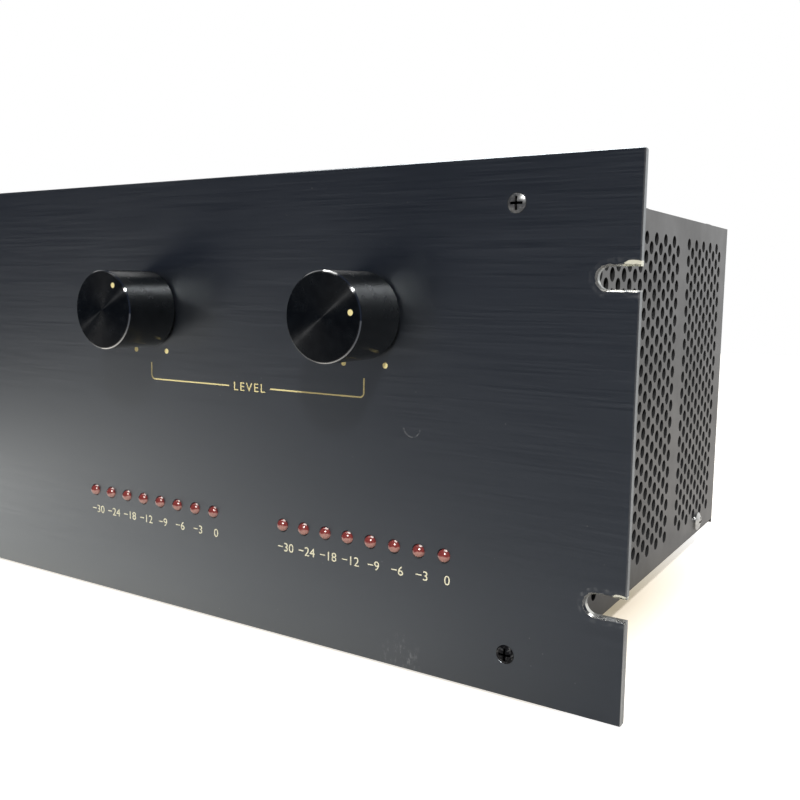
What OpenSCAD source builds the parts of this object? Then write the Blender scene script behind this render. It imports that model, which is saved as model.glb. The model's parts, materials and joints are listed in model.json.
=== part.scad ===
// Stereo power amplifier for a 19 inch rack, four rack units high.
// The front faces -Y, +Z is up, the feet stand on Z = 0 and X = 0 is the middle of the front panel.
// Every module is drawn with Y = 0 on the panel's front face, and in_frame() moves it to the origin.

/* [Front panel] */
// Width over the rack ears
panel_w = 482.6; // [470:0.1:500]
// Height of the panel
panel_h = 177; // [174:0.5:190]
// Thickness of the panel
panel_t = 2.5; // [2:0.5:5]
// Gap between the panel's lower edge and the floor
panel_lift = 1; // [0.5:0.5:4]
// Radius of the panel's corners
panel_corner = 0.8; // [0.4:0.1:3]
// Bevel around the panel's front face
panel_bevel = 0.3; // [0.2:0.1:1]
// Thread of the screws that hold the panel
panel_screw_d = 4; // [3:0.5:5]
// Head of the screws that hold the panel
panel_screw_head = 6.4; // [6:0.1:9]

/* [Rack slots] */
// Height between the two slots of an ear
slot_pitch = 101.6; // [90:0.1:110]
// Width of a slot
slot_w = 7; // [6:0.1:8]
// Depth of a slot, from the panel's end to its round bottom
slot_l = 13.3; // [11:0.1:16]
// Bevel around a slot's rim
slot_bevel = 0.6; // [0.2:0.1:1]

/* [Chassis] */
// Width of a rack ear, from the panel's end to the side panel
ear_w = 31.3; // [22:0.1:36]
// Distance from the panel's upper and lower edges to the chassis
chassis_inset = 8.5; // [6:0.5:13]
// Depth between the front panel and the rear panel
chassis_d = 246; // [240:0.5:300]
// Sheet of the side panels and the lid
sheet_t = 1.2; // [0.8:0.1:2]
// Sheet of the base pan and the rear panel
pan_t = 1.5; // [1:0.1:2]
// How far the base pan hangs below the side panels
pan_drop = 2; // [1.6:0.1:3]
// Width of the side panels' folded flanges
flange_w = 18; // [15:0.5:22]
// Distance from a flange's end to its last screw
flange_end = 6; // [5:0.5:8]
// Height of the base pan's folded lips
lip_h = 16; // [12:0.5:22]
// Play between two folded sheets
sheet_gap = 0.2; // [0.1:0.05:0.4]
// Thread of the chassis screws
case_screw_d = 4; // [3:0.5:4.5]
// Head of the chassis screws
case_screw_head = 9.4; // [7:0.2:10]
// Distance from a side panel's ends to its screws
side_screw_inset = 33.5; // [25:0.5:45]
// Width of a rubber foot
foot_d = 22; // [16:0.5:28]
// Distance from the chassis edges to the feet's middle
foot_inset = 38; // [30:1:50]

/* [Perforation] */
// Distance between neighbouring holes
perf_pitch = 7.84; // [7:0.02:9]
// Diameter of a hole
perf_hole = 5.5; // [4:0.1:6]
// Least distance from a hole's middle to the upper and lower edges
perf_edge = 11; // [9:0.5:16]
// Distance from the rear field's last holes to the rear edge
perf_rear_edge = 14.2; // [10:0.2:20]
// Least distance from the front field's first holes to the front edge
perf_front_edge = 21; // [10:0.5:40]
// Width of the plain strip between the fields, hole middle to hole middle
perf_strip = 18.6; // [14:0.2:26]
// Columns of holes in the rear field
perf_rear_cols = 10; // [6:1:12]
// Columns of holes over each heat sink in the lid
perf_lid_cols = 5; // [2:1:5]

/* [Level controls] */
// Distance between the two channels
channel_pitch = 107.4; // [100:0.1:115]
// Height of the knobs' axes above the panel's lower edge
knob_z = 125.8; // [115:0.1:135]
// Diameter of a knob
knob_d = 31; // [26:0.5:36]
// Length of a knob
knob_l = 23.8; // [18:0.2:30]
// Gap between a knob and the panel
knob_gap = 1; // [0.6:0.1:2]
// Bevel around a knob's face
knob_bevel = 0.7; // [0.3:0.1:1.5]
// Where the left knob points, in degrees clockwise from straight up
left_points = 34; // [-150:0.5:150]
// Where the right knob points, in degrees clockwise from straight up
right_points = 81; // [-150:0.5:150]
// Distance of a knob's pointer dimple from its axis
dot_r = 11.5; // [8:0.1:12.5]
// Diameter of a knob's pointer dimple
dot_d = 2.2; // [1.5:0.1:3]
// Diameter of a control's shaft
shaft_d = 6; // [5:0.05:6.4]
// Running clearance around a turning or sliding shaft
run_gap = 0.05; // [0.02:0.01:0.08]
// Thread of a control's bush
bush_d = 9; // [8:0.1:10]
// How far a bush stands out of the panel
bush_proud = 3.6; // [3.4:0.1:4.5]
// Width of a control's nut across flats
nut_af = 12; // [11:0.5:14]
// Diameter of a control's body
pot_d = 24; // [16:0.5:28]
// Depth of a control's body
pot_l = 12; // [8:0.5:25]

/* [Level meter] */
// Lamps in each channel's row
led_count = 8; // [5:1:8]
// Distance between lamps
led_pitch = 10.16; // [8:0.02:10.4]
// Diameter of a lamp
led_d = 5; // [3:0.1:5.4]
// Length of a lamp's lens
led_l = 8.6; // [8:0.1:10]
// How far a lamp's dome stands out of the panel
led_proud = 2; // [1.5:0.1:4]
// Height of the lamps above the panel's lower edge
led_z = 44.3; // [35:0.1:60]
// How far the rows of lamps sit to the left of the knobs' axes
lamp_shift = 2; // [0:0.1:4]
// Gap between the panel and the meter board
meter_gap = 5.7; // [5:0.1:8]
// Gap between the meter board and the right side panel's flange
meter_side_gap = 1.04; // [0.5:0.02:12]
// Height of the meter board
meter_h = 26; // [22:0.5:34]
// Thickness of the circuit boards
board_t = 1.6; // [1:0.1:2.4]

/* [Power switch] */
// Distance of the power button from the panel's left end
power_inset = 85.3; // [82:0.1:111]
// Height of the power button above the panel's lower edge
power_z = 44.6; // [35:0.1:60]
// Width of the power button
button_w = 22; // [16:0.5:24]
// Height of the power button
button_h = 12; // [10:0.5:16]
// How far the button stands out of the panel
button_proud = 5; // [4:0.5:8]
// Travel of the button
button_travel = 3; // [2:0.5:4]
// Gap around the button
button_gap = 0.3; // [0.2:0.05:0.5]
// Diameter of the button's plunger
plunger_d = 4; // [3:0.1:5]
// Height of the pilot lamp above the button
pilot_rise = 24; // [18:0.5:40]

/* [Cooling] */
// Height of a heat sink
sink_h = 130; // [110:1:136]
// Thickness of a heat sink's base
sink_base = 8; // [5:0.5:10]
// Length of a fin
fin_l = 34; // [20:0.5:38]
// Thickness of a fin
fin_t = 2.2; // [1.5:0.1:3]
// Distance between fins
fin_pitch = 10; // [7:0.5:14]
// Gap between a heat sink and the front panel
sink_front = 42; // [38:0.5:70]
// Gap between a heat sink and the rear panel
sink_rear = 24; // [20:0.5:30]
// Gap between the fins' tips and the side panel
sink_gap = 14; // [10:0.5:18]
// Output transistors on each heat sink
transistor_count = 4; // [2:1:4]
// Distance between output transistors
transistor_pitch = 40; // [30:1:44]
// Distance from a heat sink's ends to its amplifier board
amp_board_inset = 8; // [4:0.5:20]
// Height of an amplifier board
amp_board_h = 96; // [80:1:104]
// Gap between a heat sink and its amplifier board
amp_board_gap = 14; // [10:0.5:16]

/* [Power supply] */
// Diameter of the ring transformer
core_d = 124; // [100:1:130]
// Hole through the ring transformer
core_hole = 40; // [34:0.5:50]
// Height of the ring transformer
core_h = 58; // [45:0.5:70]
// Distance of the transformer left of the middle
core_x = 42; // [34:0.5:46]
// Thickness of the transformer's rubber pads
pad_t = 2; // [1:0.5:4]
// Thread of the transformer's bolt
core_bolt_d = 8; // [6:0.5:10]
// Diameter of a filter capacitor
cap_d = 50; // [40:0.5:54]
// Height of a filter capacitor
cap_h = 85; // [60:1:110]
// Distance of the capacitors right of the middle
cap_x = 70; // [66:0.5:74]
// Distance between the two capacitors
cap_pitch = 68; // [62:0.5:80]
// Side of the bridge rectifier
bridge_w = 28.6; // [25:0.2:32]
// Length of the protection board
guard_l = 96; // [80:1:105]
// Depth of the protection board
guard_w = 46; // [40:1:50]
// Height of the board posts on the base pan
guard_post = 10; // [6:0.5:16]

/* [Rear panel] */
// Distance of the left channel's sockets right of the middle
out_left_x = 50; // [45:0.5:60]
// Distance of the right channel's sockets right of the middle
out_right_x = 112; // [105:0.5:116]
// Height of the speaker posts above the base pan
post_rise = 52; // [42:0.5:60]
// Distance between the two posts of a channel
post_pitch = 19; // [17:0.1:22]
// How far a speaker post stands out of the rear panel
post_l = 23; // [20:0.5:28]
// Diameter of a post's stud
post_d = 6; // [5.6:0.1:7]
// Diameter of a post's cap
post_cap_d = 12.4; // [11:0.1:14]
// Diameter of the plug hole in a post
plug_d = 4.1; // [3.9:0.05:4.3]
// Height of the input jacks above the base pan
jack_rise = 106; // [95:0.5:120]
// Diameter of an input jack's hole
jack_d = 6.5; // [6.3:0.05:6.6]
// Distance of the mains inlet left of the middle
inlet_x = 108; // [100:0.5:112]
// Height of the mains inlet and the fuse above the base pan
inlet_rise = 52; // [46:0.5:70]
// Distance of the fuse left of the middle
fuse_x = 62; // [50:0.5:66]

/* [Hidden] */
$fn = 48;
// Overshoot of through cuts
cut = 1;
// Play of a fixed round piece in its hole, on the diameter
fit = 0.2;
// Gap that keeps a moving face off a fixed one
air = 0.3;

// Heights
chassis_h = panel_h - 2 * chassis_inset;
chassis_z = panel_lift + chassis_inset;
side_h = chassis_h - sheet_t;
lid_z = chassis_z + side_h;
foot_h = chassis_z - pan_drop;
pan_top = foot_h + pan_t;
knob_axis_z = panel_lift + knob_z;
led_axis_z = panel_lift + led_z;
power_axis_z = panel_lift + power_z;

// Depths
back_y = panel_t;
rear_in = back_y + chassis_d;
rear_y = rear_in + pan_t;
mid_y = (back_y + rear_in) / 2;
front_reach = knob_gap + knob_l;
rear_reach = rear_y + post_l;
origin_y = (front_reach - rear_reach) / 2;

// Widths
chassis_w = panel_w - 2 * ear_w;
half_w = chassis_w / 2;
inner_w = half_w - sheet_t;
lip_x = inner_w - sheet_gap;
flange_x = half_w - flange_w;
screw_x = half_w - flange_w / 2;

// Screw places
panel_dome = 0.9;
panel_cross = 1.6;
panel_screws_z = [chassis_z + flange_end, chassis_z + chassis_h - flange_end];
side_screws_y = [back_y + side_screw_inset, rear_in - side_screw_inset];
side_screw_z = chassis_z + flange_end;
rear_screws_z = [chassis_z + flange_end, chassis_z + chassis_h / 2, lid_z - 2 * flange_end];
lid_screws_y = [back_y + 2 * flange_end, mid_y, rear_in - 2 * flange_end];
case_hole = case_screw_d + fit;
case_screw_l = 8;
feet_at = [for (x = [-1, 1], y = [back_y + foot_inset, rear_in - foot_inset])
    [x * (half_w - foot_inset), y]];
foot_well = foot_h * 0.55;
foot_taper = 0.3;
well_play = 2;

// Perforation
col_step = perf_pitch * sqrt(3) / 2;
perf_rows = floor((chassis_h - 2 * perf_edge) / perf_pitch + 0.5);
perf_low = chassis_h / 2 - (perf_rows - 0.5) * perf_pitch / 2;
rear_last = chassis_d - perf_rear_edge;
front_last = rear_last - (perf_rear_cols - 1) * col_step - perf_strip;
perf_front_cols = floor((front_last - perf_front_edge) / col_step) + 1;
lid_d = rear_y - back_y;
lid_rows = floor((lid_d - 2 * perf_front_edge) / perf_pitch);
lid_last = (perf_lid_cols - 1) * col_step / 2;
lid_low = (lid_d - (lid_rows - 0.5) * perf_pitch) / 2;

// Level controls
washer_t = 0.6;
nut_t = 2.2;
nut_corner_d = nut_af / cos(30);
recess_play = 1;
knob_recess = bush_proud - knob_gap + recess_play;
knob_face_t = 4;
knob_bore_end = knob_l - knob_face_t;
grub_d = 3;
grub_l = 5;
grub_at = (knob_recess + knob_bore_end) / 2;
dot_depth = 0.3;
shaft_in = 6;

// Level meter
led_back = led_l - led_proud;
led_row = (led_count - 1) * led_pitch;
leg_d = 0.5;
leg_pitch = 2.54;
lamp_rim_w = 0.45;
lamp_rim_d = led_d + 2 * lamp_rim_w;
lamp_rim_t = 1;
meter_y = back_y + meter_gap;
meter_edge = 12;
meter_w = channel_pitch + led_row + 2 * meter_edge;
post_inset = 4;
stud_d = 3;
stud_l = 4;
meter_screw_head = 5;
group_x = flange_x - meter_side_gap - meter_w / 2;
channels = [group_x - channel_pitch / 2, group_x + channel_pitch / 2];
meter_posts_at = [for (x = [-1, 1], z = [-1, 1])
    [group_x + x * (meter_w / 2 - post_inset), led_axis_z + z * (meter_h / 2 - post_inset)]];

// Power switch
power_x = panel_w / 2 - power_inset;
button_edge = 1.5;
button_lip = 1.5;
bracket_play = 1;
bracket_y = back_y + air + button_lip + button_travel + bracket_play;
bracket_half = button_w / 2 + button_edge + bracket_play;
bracket_foot = 10;
switch_y = bracket_y + pan_t;
switch_l = 18;
plunger_end = switch_y + switch_l / 2;
bracket_studs = [for (x = [-1, 1]) [x * (bracket_half + pan_t + bracket_foot / 2), 0]];

// Cooling, for the right-hand channel
sink_l = chassis_d - sink_front - sink_rear;
sink_y = rear_in - sink_rear - sink_l / 2;
fin_tip_x = inner_w - sink_gap;
sink_out_x = fin_tip_x - fin_l;
sink_in_x = sink_out_x - sink_base;
fin_count = floor((sink_l - fin_t) / fin_pitch) + 1;
sink_screw_inset = 24;
sink_screws_y = [for (s = [-1, 1]) sink_y + s * (sink_l / 2 - sink_screw_inset)];
amp_board_x = sink_in_x - amp_board_gap - board_t;
amp_board_l = sink_l - 2 * amp_board_inset;
amp_board_rise = 20;
amp_board_z = pan_top + amp_board_rise;
transistor = [4.8, 15.6, 20];
transistor_rise = 72;
transistor_z = pan_top + transistor_rise;
lead_pitch = 5.45;
lead_t = 1;
lead_drop = 6;
board_post_d = 5;

// Power supply
core_forward = 20;
core_y = mid_y - core_forward;
core_z = pan_top + pad_t;
pad_inset = 8;
pad_d = core_d - 2 * pad_inset;
dish_z = core_z + core_h + pad_t;
dish_depth = 8;
dish_play = 2;
bolt_over = 2;
clamp_t = 1.5;
clamp_h = 20;
clamp_tab = 13;
clamp_tab_w = 14;
clamp_gap = 0.2;
caps_forward = 16;
caps_y = [for (s = [-1, 1]) mid_y - caps_forward + s * cap_pitch / 2];
clamp_reach = cap_d / 2 + clamp_gap + clamp_t;
clamp_screw_end = 2;
clamp_screws_at = [for (y = caps_y, s = [-1, 1]) [cap_x + s * (clamp_reach + clamp_tab * 0.6), y]];
bridge_h = 10;
bridge_from_rear = 45;
bridge_y = rear_in - bridge_from_rear;
guard_from_rear = 36;
guard_y = rear_in - guard_from_rear;
guard_x = -core_x / 2;
relay_l = 28;
relay_w = 26;
relay_h = 24;
supply_l = 30;
supply_w = 26;
supply_h = 22;
guard_z = pan_top + guard_post;
guard_posts_at = [for (x = [-1, 1], y = [-1, 1])
    [guard_x + x * (guard_l / 2 - post_inset), guard_y + y * (guard_w / 2 - post_inset)]];

// Rear panel
post_z = pan_top + post_rise;
jack_z = pan_top + jack_rise;
inlet_z = pan_top + inlet_rise;
outs_x = [out_left_x, out_right_x];
posts_x = [for (x = outs_x, s = [-1, 1]) x + s * post_pitch / 2];
post_flange_t = 3;
post_collar_t = 2;
post_tail = 14;
rear_nut_t = 4;
post_boss_wall = 1.8;
post_boss_d = post_d + 2 * post_boss_wall;
post_ring_w = 2.5;
post_ring_d = post_boss_d + 2 * post_ring_w;
cap_y = rear_y + post_flange_t + post_collar_t + air;
plug_l = 18;
jack_bush_d = 11.4;
jack_proud = 5;
jack_body = [18, 26, 20];
jack_l = 30;
jack_nut_af = 14;
jack_nut_t = 3;
inlet_flange_t = 3;
inlet_w = 30;
inlet_h = 22;
inlet_wall = 2.6;
inlet_l = 24;
inlet_depth = 17;
inlet_screw_pitch = 40;
inlet_tab = 5;
fuse_body_d = 14;
fuse_flange_d = 19;
fuse_flange_t = 3;
fuse_l = 34;
fuse_stem_d = 9;
fuse_stem_l = 10;
fuse_d = 5.2;
fuse_tube_l = 20;
fuse_cap_d = 15;
fuse_cap_l = 9;
fuse_slot = 1.6;

// A box between two corners
module block(low, high) {
    translate(low)
        cube(high - low);
}

// A rod along +Y between two depths
module rod_y(d, from, to) {
    translate([0, from, 0])
        rotate([-90, 0, 0])
            cylinder(d = d, h = to - from);
}

// A flat outline, drawn in X and Z, made as thick as the distance between two depths
module plate_y(from, to) {
    translate([0, to, 0])
        rotate([90, 0, 0])
            linear_extrude(to - from)
                children();
}

// The children and their mirror image on the left
module both_sides() {
    children();
    mirror([1, 0, 0])
        children();
}

// Moves the model so that the origin lies under the middle of its box
module in_frame() {
    translate([0, origin_y, 0])
        children();
}

// Turns a piece whose axis is +Z to face the front, the rear or the right-hand side
module facing_front(x, y, z) {
    translate([x, y, z])
        rotate([90, 0, 0])
            children();
}

module facing_rear(x, y, z) {
    translate([x, y, z])
        rotate([-90, 0, 0])
            children();
}

module facing_right(x, y, z) {
    translate([x, y, z])
        rotate([0, 90, 0])
            children();
}

// A screwdriver cross, cut down from Z = 0
module cross_recess(w, depth) {
    for (a = [0, 90])
        rotate(a)
            translate([-w / 2, -w / 10, -depth])
                cube([w, w / 5, depth + cut]);
}

// A pan head screw that seats at Z = 0 with its head above
module pan_screw(d, head_d, length) {
    head_h = 0.62 * d;
    dome_r = 0.8 * head_d;
    difference() {
        union() {
            intersection() {
                cylinder(d = head_d, h = head_h);
                translate([0, 0, head_h - dome_r])
                    sphere(r = dome_r);
            }
            translate([0, 0, -length])
                cylinder(d = d, h = length + head_h / 4);
        }
        translate([0, 0, head_h])
            cross_recess(head_d / 2, head_h / 2);
    }
}

module case_screw(length = case_screw_l) {
    pan_screw(case_screw_d, case_screw_head, length);
}

// A hexagon nut with its base at Z = 0
module hex_nut(af, hole_d, t) {
    difference() {
        cylinder(d = af / cos(30), h = t, $fn = 6);
        translate([0, 0, -cut])
            cylinder(d = hole_d, h = t + 2 * cut);
    }
}

// A round post with its base at Z = 0
module hollow_post(d, hole_d, h) {
    difference() {
        cylinder(d = d, h = h);
        translate([0, 0, -cut])
            cylinder(d = hole_d, h = h + 2 * cut);
    }
}

// One staggered field of round holes. Columns step back from the last one
module hole_field(last, cols, low, rows) {
    for (i = [0 : cols - 1], j = [0 : rows - 1])
        translate([last - i * col_step, low + (j + (i % 2) / 2) * perf_pitch])
            circle(d = perf_hole);
}

function lamp_x(channel, i) = channel - lamp_shift - led_row / 2 + i * led_pitch;

// Front panel

module panel_blank() {
    b = panel_bevel;
    t = panel_t;
    w = panel_w / 2;
    h = panel_h;
    translate([0, 0, panel_lift])
        intersection() {
            linear_extrude(h)
                polygon([[-w + b, 0], [w - b, 0], [w, b], [w, t], [-w, t], [-w, b]]);
            translate([-w, 0, 0])
                rotate([90, 0, 90])
                    linear_extrude(panel_w)
                        polygon([[0, b], [b, 0], [t, 0], [t, h], [b, h], [0, h - b]]);
            plate_y(0, t)
                round_rect(panel_w, h, panel_corner);
        }
}

// A rectangle with round corners, centred on X and standing on Y = 0
module round_rect(w, h, r) {
    translate([-w / 2 + r, 0])
        square([w - 2 * r, h]);
    translate([-w / 2, r])
        square([w, h - 2 * r]);
    for (x = [-1, 1], y = [r, h - r])
        translate([x * (w / 2 - r), y])
            circle(r = r);
}

// An open slot in the right-hand ear, with a bevelled rim
module rack_slot(z) {
    half = slot_w / 2;
    rim = half + slot_bevel + cut;
    translate([panel_w / 2 - slot_l + half, 0, z]) {
        rod_y(slot_w, -cut, back_y + cut);
        block([0, -cut, -half], [slot_l, back_y + cut, half]);
        facing_rear(0, -cut, 0)
            cylinder(r1 = rim, r2 = half, h = slot_bevel + cut);
        rotate([90, 0, 90])
            linear_extrude(slot_l)
                polygon([[-cut, -rim], [slot_bevel, -half], [slot_bevel, half], [-cut, rim]]);
    }
}

// An oval head screw: the cone sits in the panel and the dome stands proud. Play widens it into its hole
module oval_screw(length, dome_h, play = 0) {
    r = panel_screw_head / 2;
    cone_h = (panel_screw_head - panel_screw_d) / 2;
    dome_r = (r * r + dome_h * dome_h) / (2 * dome_h);
    translate([0, 0, -cone_h])
        cylinder(d1 = panel_screw_d + play, d2 = panel_screw_head + play, h = cone_h);
    translate([0, 0, -length])
        cylinder(d = panel_screw_d + play, h = length - cone_h / 2);
    intersection() {
        cylinder(d = panel_screw_head + play, h = dome_h);
        translate([0, 0, dome_h - dome_r])
            sphere(r = dome_r + play);
    }
}

module front_panel() {
    color("#1b1d21") {
        difference() {
            panel_blank();
            both_sides() {
                for (s = [-1, 1])
                    rack_slot(panel_lift + panel_h / 2 + s * slot_pitch / 2);
                for (z = panel_screws_z)
                    facing_front(screw_x, 0, z)
                        oval_screw(panel_t + cut, cut, fit);
            }
            for (x = channels) {
                translate([x, 0, knob_axis_z])
                    rod_y(bush_d + fit, -cut, back_y + cut);
                for (i = [0 : led_count - 1])
                    translate([lamp_x(x, i), 0, led_axis_z])
                        rod_y(led_d + fit, -cut, back_y + cut);
            }
            translate([-power_x, 0, power_axis_z]) {
                block([-button_w / 2 - button_gap, -cut, -button_h / 2 - button_gap],
                    [button_w / 2 + button_gap, back_y + cut, button_h / 2 + button_gap]);
                translate([0, 0, pilot_rise])
                    rod_y(led_d + fit, -cut, back_y + cut);
            }
        }
        for (p = meter_posts_at)
            translate([p.x, 0, p.y])
                rod_y(stud_d, back_y / 2, back_y + stud_l);
        for (p = bracket_studs)
            translate([p.x - power_x, 0, p.y + power_axis_z])
                rod_y(stud_d, back_y / 2, back_y + stud_l);
    }
}

module panel_screws() {
    color("#2a2a2c")
        both_sides()
            for (z = panel_screws_z)
                facing_front(screw_x, 0, z)
                    difference() {
                        oval_screw(panel_t + case_screw_l, panel_dome);
                        translate([0, 0, panel_dome])
                            cross_recess(panel_screw_head * 0.68, panel_cross);
                    }
}

// Chassis

module side_sheet() {
    difference() {
        square([chassis_d, side_h]);
        hole_field(rear_last, perf_rear_cols, perf_low, perf_rows);
        hole_field(front_last, perf_front_cols, perf_low, perf_rows);
        for (y = side_screws_y)
            translate([y - back_y, flange_end])
                circle(d = case_hole);
    }
}

// A folded flange, drawn flat, with a row of screw holes along its middle
module flange(length, at, hole_d) {
    linear_extrude(sheet_t)
        difference() {
            square([flange_w, length]);
            for (p = at)
                translate([flange_w / 2, p])
                    circle(d = hole_d);
        }
}

module side_panel() {
    translate([inner_w, back_y, chassis_z])
        rotate([90, 0, 90])
            linear_extrude(sheet_t)
                side_sheet();
    translate([flange_x, back_y + sheet_t, chassis_z])
        rotate([90, 0, 0])
            flange(side_h, [for (z = panel_screws_z) z - chassis_z], panel_screw_d + fit);
    translate([flange_x, rear_in, chassis_z])
        rotate([90, 0, 0])
            flange(side_h, [for (z = rear_screws_z) z - chassis_z], case_hole);
    translate([flange_x, back_y, lid_z - sheet_t])
        flange(chassis_d, [for (y = lid_screws_y) y - back_y], case_hole);
}

module side_panel_left() {
    color("#3a3b3d")
        mirror([1, 0, 0])
            side_panel();
}

module side_panel_right() {
    color("#3a3b3d")
        side_panel();
}

module side_screws() {
    color("#d8d8d4")
        both_sides()
            for (y = side_screws_y)
                facing_right(half_w, y, side_screw_z)
                    case_screw();
}

module lid() {
    color("#333436")
        translate([0, back_y, lid_z])
            linear_extrude(sheet_t)
                difference() {
                    translate([-half_w, 0])
                        square([chassis_w, lid_d]);
                    for (s = [-1, 1])
                        translate([s * (sink_in_x + fin_tip_x) / 2, 0])
                            hole_field(lid_last, perf_lid_cols, lid_low, lid_rows);
                    for (s = [-1, 1], y = lid_screws_y)
                        translate([s * screw_x, y - back_y])
                            circle(d = case_hole);
                }
}

module lid_screws() {
    color("#252527")
        both_sides()
            for (y = lid_screws_y)
                translate([screw_x, y, lid_z + sheet_t])
                    case_screw();
}

// Places a screw or its hole at each point where the base pan holds something
module at_pan_screws() {
    for (p = feet_at)
        translate([p.x, p.y, 0])
            children();
    both_sides()
        for (y = sink_screws_y)
            translate([(sink_in_x + sink_out_x) / 2, y, 0])
                children();
}

module base_pan() {
    lip_z = foot_h + lip_h;
    end_x = flange_x - sheet_gap;
    end_y = sheet_t + sheet_gap;
    color("#2e2f31")
        difference() {
            union() {
                block([-lip_x, back_y, foot_h], [lip_x, rear_in, pan_top]);
                block([-end_x, back_y, foot_h], [end_x, back_y + pan_t, lip_z]);
                block([-end_x, rear_in - pan_t, foot_h], [end_x, rear_in, lip_z]);
                both_sides()
                    block([lip_x - pan_t, back_y + end_y, foot_h], [lip_x, rear_in - end_y, lip_z]);
            }
            both_sides()
                for (y = side_screws_y)
                    facing_right(lip_x - pan_t - cut, y, side_screw_z)
                        cylinder(d = case_hole, h = pan_t + 2 * cut);
            translate([0, 0, foot_h - cut]) {
                at_pan_screws()
                    cylinder(d = case_hole, h = pan_t + 2 * cut);
                translate([-core_x, core_y])
                    cylinder(d = core_bolt_d + fit, h = pan_t + 2 * cut);
                for (p = clamp_screws_at)
                    translate(p)
                        cylinder(d = stud_d + fit, h = pan_t + 2 * cut);
            }
        }
}

module rear_panel() {
    color("#323335")
        difference() {
            block([-half_w, rear_in, foot_h], [half_w, rear_y, lid_z]);
            both_sides()
                for (z = rear_screws_z)
                    translate([screw_x, 0, z])
                        rod_y(case_hole, rear_in - cut, rear_y + cut);
            for (x = posts_x)
                translate([x, 0, post_z])
                    rod_y(post_boss_d + fit, rear_in - cut, rear_y + cut);
            for (x = outs_x)
                translate([x, 0, jack_z])
                    rod_y(jack_bush_d + fit, rear_in - cut, rear_y + cut);
            translate([-fuse_x, 0, inlet_z])
                rod_y(fuse_body_d + fit, rear_in - cut, rear_y + cut);
            translate([-inlet_x, 0, inlet_z]) {
                plate_y(rear_in - cut, rear_y + cut)
                    inlet_outline(inlet_w + 2 * fit, inlet_h + 2 * fit);
                for (s = [-1, 1])
                    translate([s * inlet_screw_pitch / 2, 0, 0])
                        rod_y(stud_d + fit, rear_in - cut, rear_y + cut);
            }
        }
}

module rear_screws() {
    color("#252527") {
        both_sides()
            for (z = rear_screws_z)
                facing_rear(screw_x, rear_y, z)
                    case_screw();
        for (s = [-1, 1])
            facing_rear(-inlet_x + s * inlet_screw_pitch / 2, rear_y + inlet_flange_t, inlet_z)
                pan_screw(stud_d, 2 * stud_d, inlet_flange_t + case_screw_l);
    }
}

module rubber_feet() {
    well_d = case_screw_head + well_play;
    color("#151515")
        for (p = feet_at)
            translate([p.x, p.y, 0])
                difference() {
                    cylinder(d1 = foot_d - foot_h * foot_taper, d2 = foot_d, h = foot_h);
                    translate([0, 0, -cut])
                        cylinder(d = well_d, h = foot_well + cut);
                    cylinder(d = case_hole, h = foot_h + cut);
                }
}

// Screws from below, through the feet and into the heat sinks
module pan_screws() {
    color("#c9c9c6") {
        for (p = feet_at)
            translate([p.x, p.y, foot_well])
                mirror([0, 0, 1])
                    case_screw(pan_top - foot_well - air);
        both_sides()
            for (y = sink_screws_y)
                translate([(sink_in_x + sink_out_x) / 2, y, foot_h])
                    mirror([0, 0, 1])
                        case_screw(pan_t + case_screw_l);
    }
}

// Level controls

// Moves a knob piece to its axis, turned clockwise from straight up
module on_knob(x, points) {
    translate([x, -knob_gap, knob_axis_z])
        rotate([0, points, 0])
            children();
}

module level_knob(x, points) {
    r = knob_d / 2;
    bore = shaft_d / 2 + run_gap;
    recess_r = nut_corner_d / 2 + cut;
    b = knob_bevel;
    on_knob(x, points)
        difference() {
            rotate([90, 0, 0])
                rotate_extrude()
                    polygon([[0, knob_bore_end], [bore, knob_bore_end], [bore, knob_recess],
                        [recess_r, knob_recess], [recess_r, 0], [r - b / 2, 0], [r, b / 2],
                        [r, knob_l - b], [r - b, knob_l], [0, knob_l]]);
            translate([0, 0, dot_r])
                rod_y(dot_d, -knob_l - cut, -knob_l + dot_depth);
            translate([0, -grub_at, 0])
                rotate([180, 0, 0])
                    cylinder(d = grub_d + fit, h = knob_d);
        }
}

module grub_screw(x, points) {
    tip = shaft_d / 2 + run_gap;
    on_knob(x, points)
        translate([0, -grub_at, -tip - grub_l])
            difference() {
                cylinder(d = grub_d, h = grub_l);
                translate([0, 0, -cut])
                    cylinder(d = grub_d / 2, h = grub_l / 2 + cut, $fn = 6);
            }
}

module pot_shaft(x) {
    translate([x, 0, knob_axis_z])
        rod_y(shaft_d, -knob_gap - knob_bore_end + air, back_y + shaft_in);
}

module level_pot(x) {
    lug = [1.6, 0.8, 7];
    lug_pitch = 5;
    translate([x, 0, knob_axis_z])
        difference() {
            union() {
                rod_y(bush_d, -bush_proud, back_y + pot_l / 2);
                rod_y(pot_d, back_y, back_y + pot_l);
                for (i = [-1, 0, 1])
                    translate([i * lug_pitch - lug.x / 2, back_y + pot_l / 2, -pot_d / 2 - lug.z])
                        cube([lug.x, lug.y, pot_d / 2]);
            }
            rod_y(shaft_d + 2 * run_gap, -bush_proud - cut, back_y + shaft_in + air);
        }
}

module level_knob_left() {
    color("#0e0f11")
        level_knob(channels[0], left_points);
}

module level_knob_right() {
    color("#0e0f11")
        level_knob(channels[1], right_points);
}

module grub_screw_left() {
    color("#3c3c3e")
        grub_screw(channels[0], left_points);
}

module grub_screw_right() {
    color("#3c3c3e")
        grub_screw(channels[1], right_points);
}

module pot_shaft_left() {
    color("#c0c0bd")
        pot_shaft(channels[0]);
}

module pot_shaft_right() {
    color("#c0c0bd")
        pot_shaft(channels[1]);
}

module level_pot_left() {
    color("#8f8a80")
        level_pot(channels[0]);
}

module level_pot_right() {
    color("#8f8a80")
        level_pot(channels[1]);
}

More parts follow.
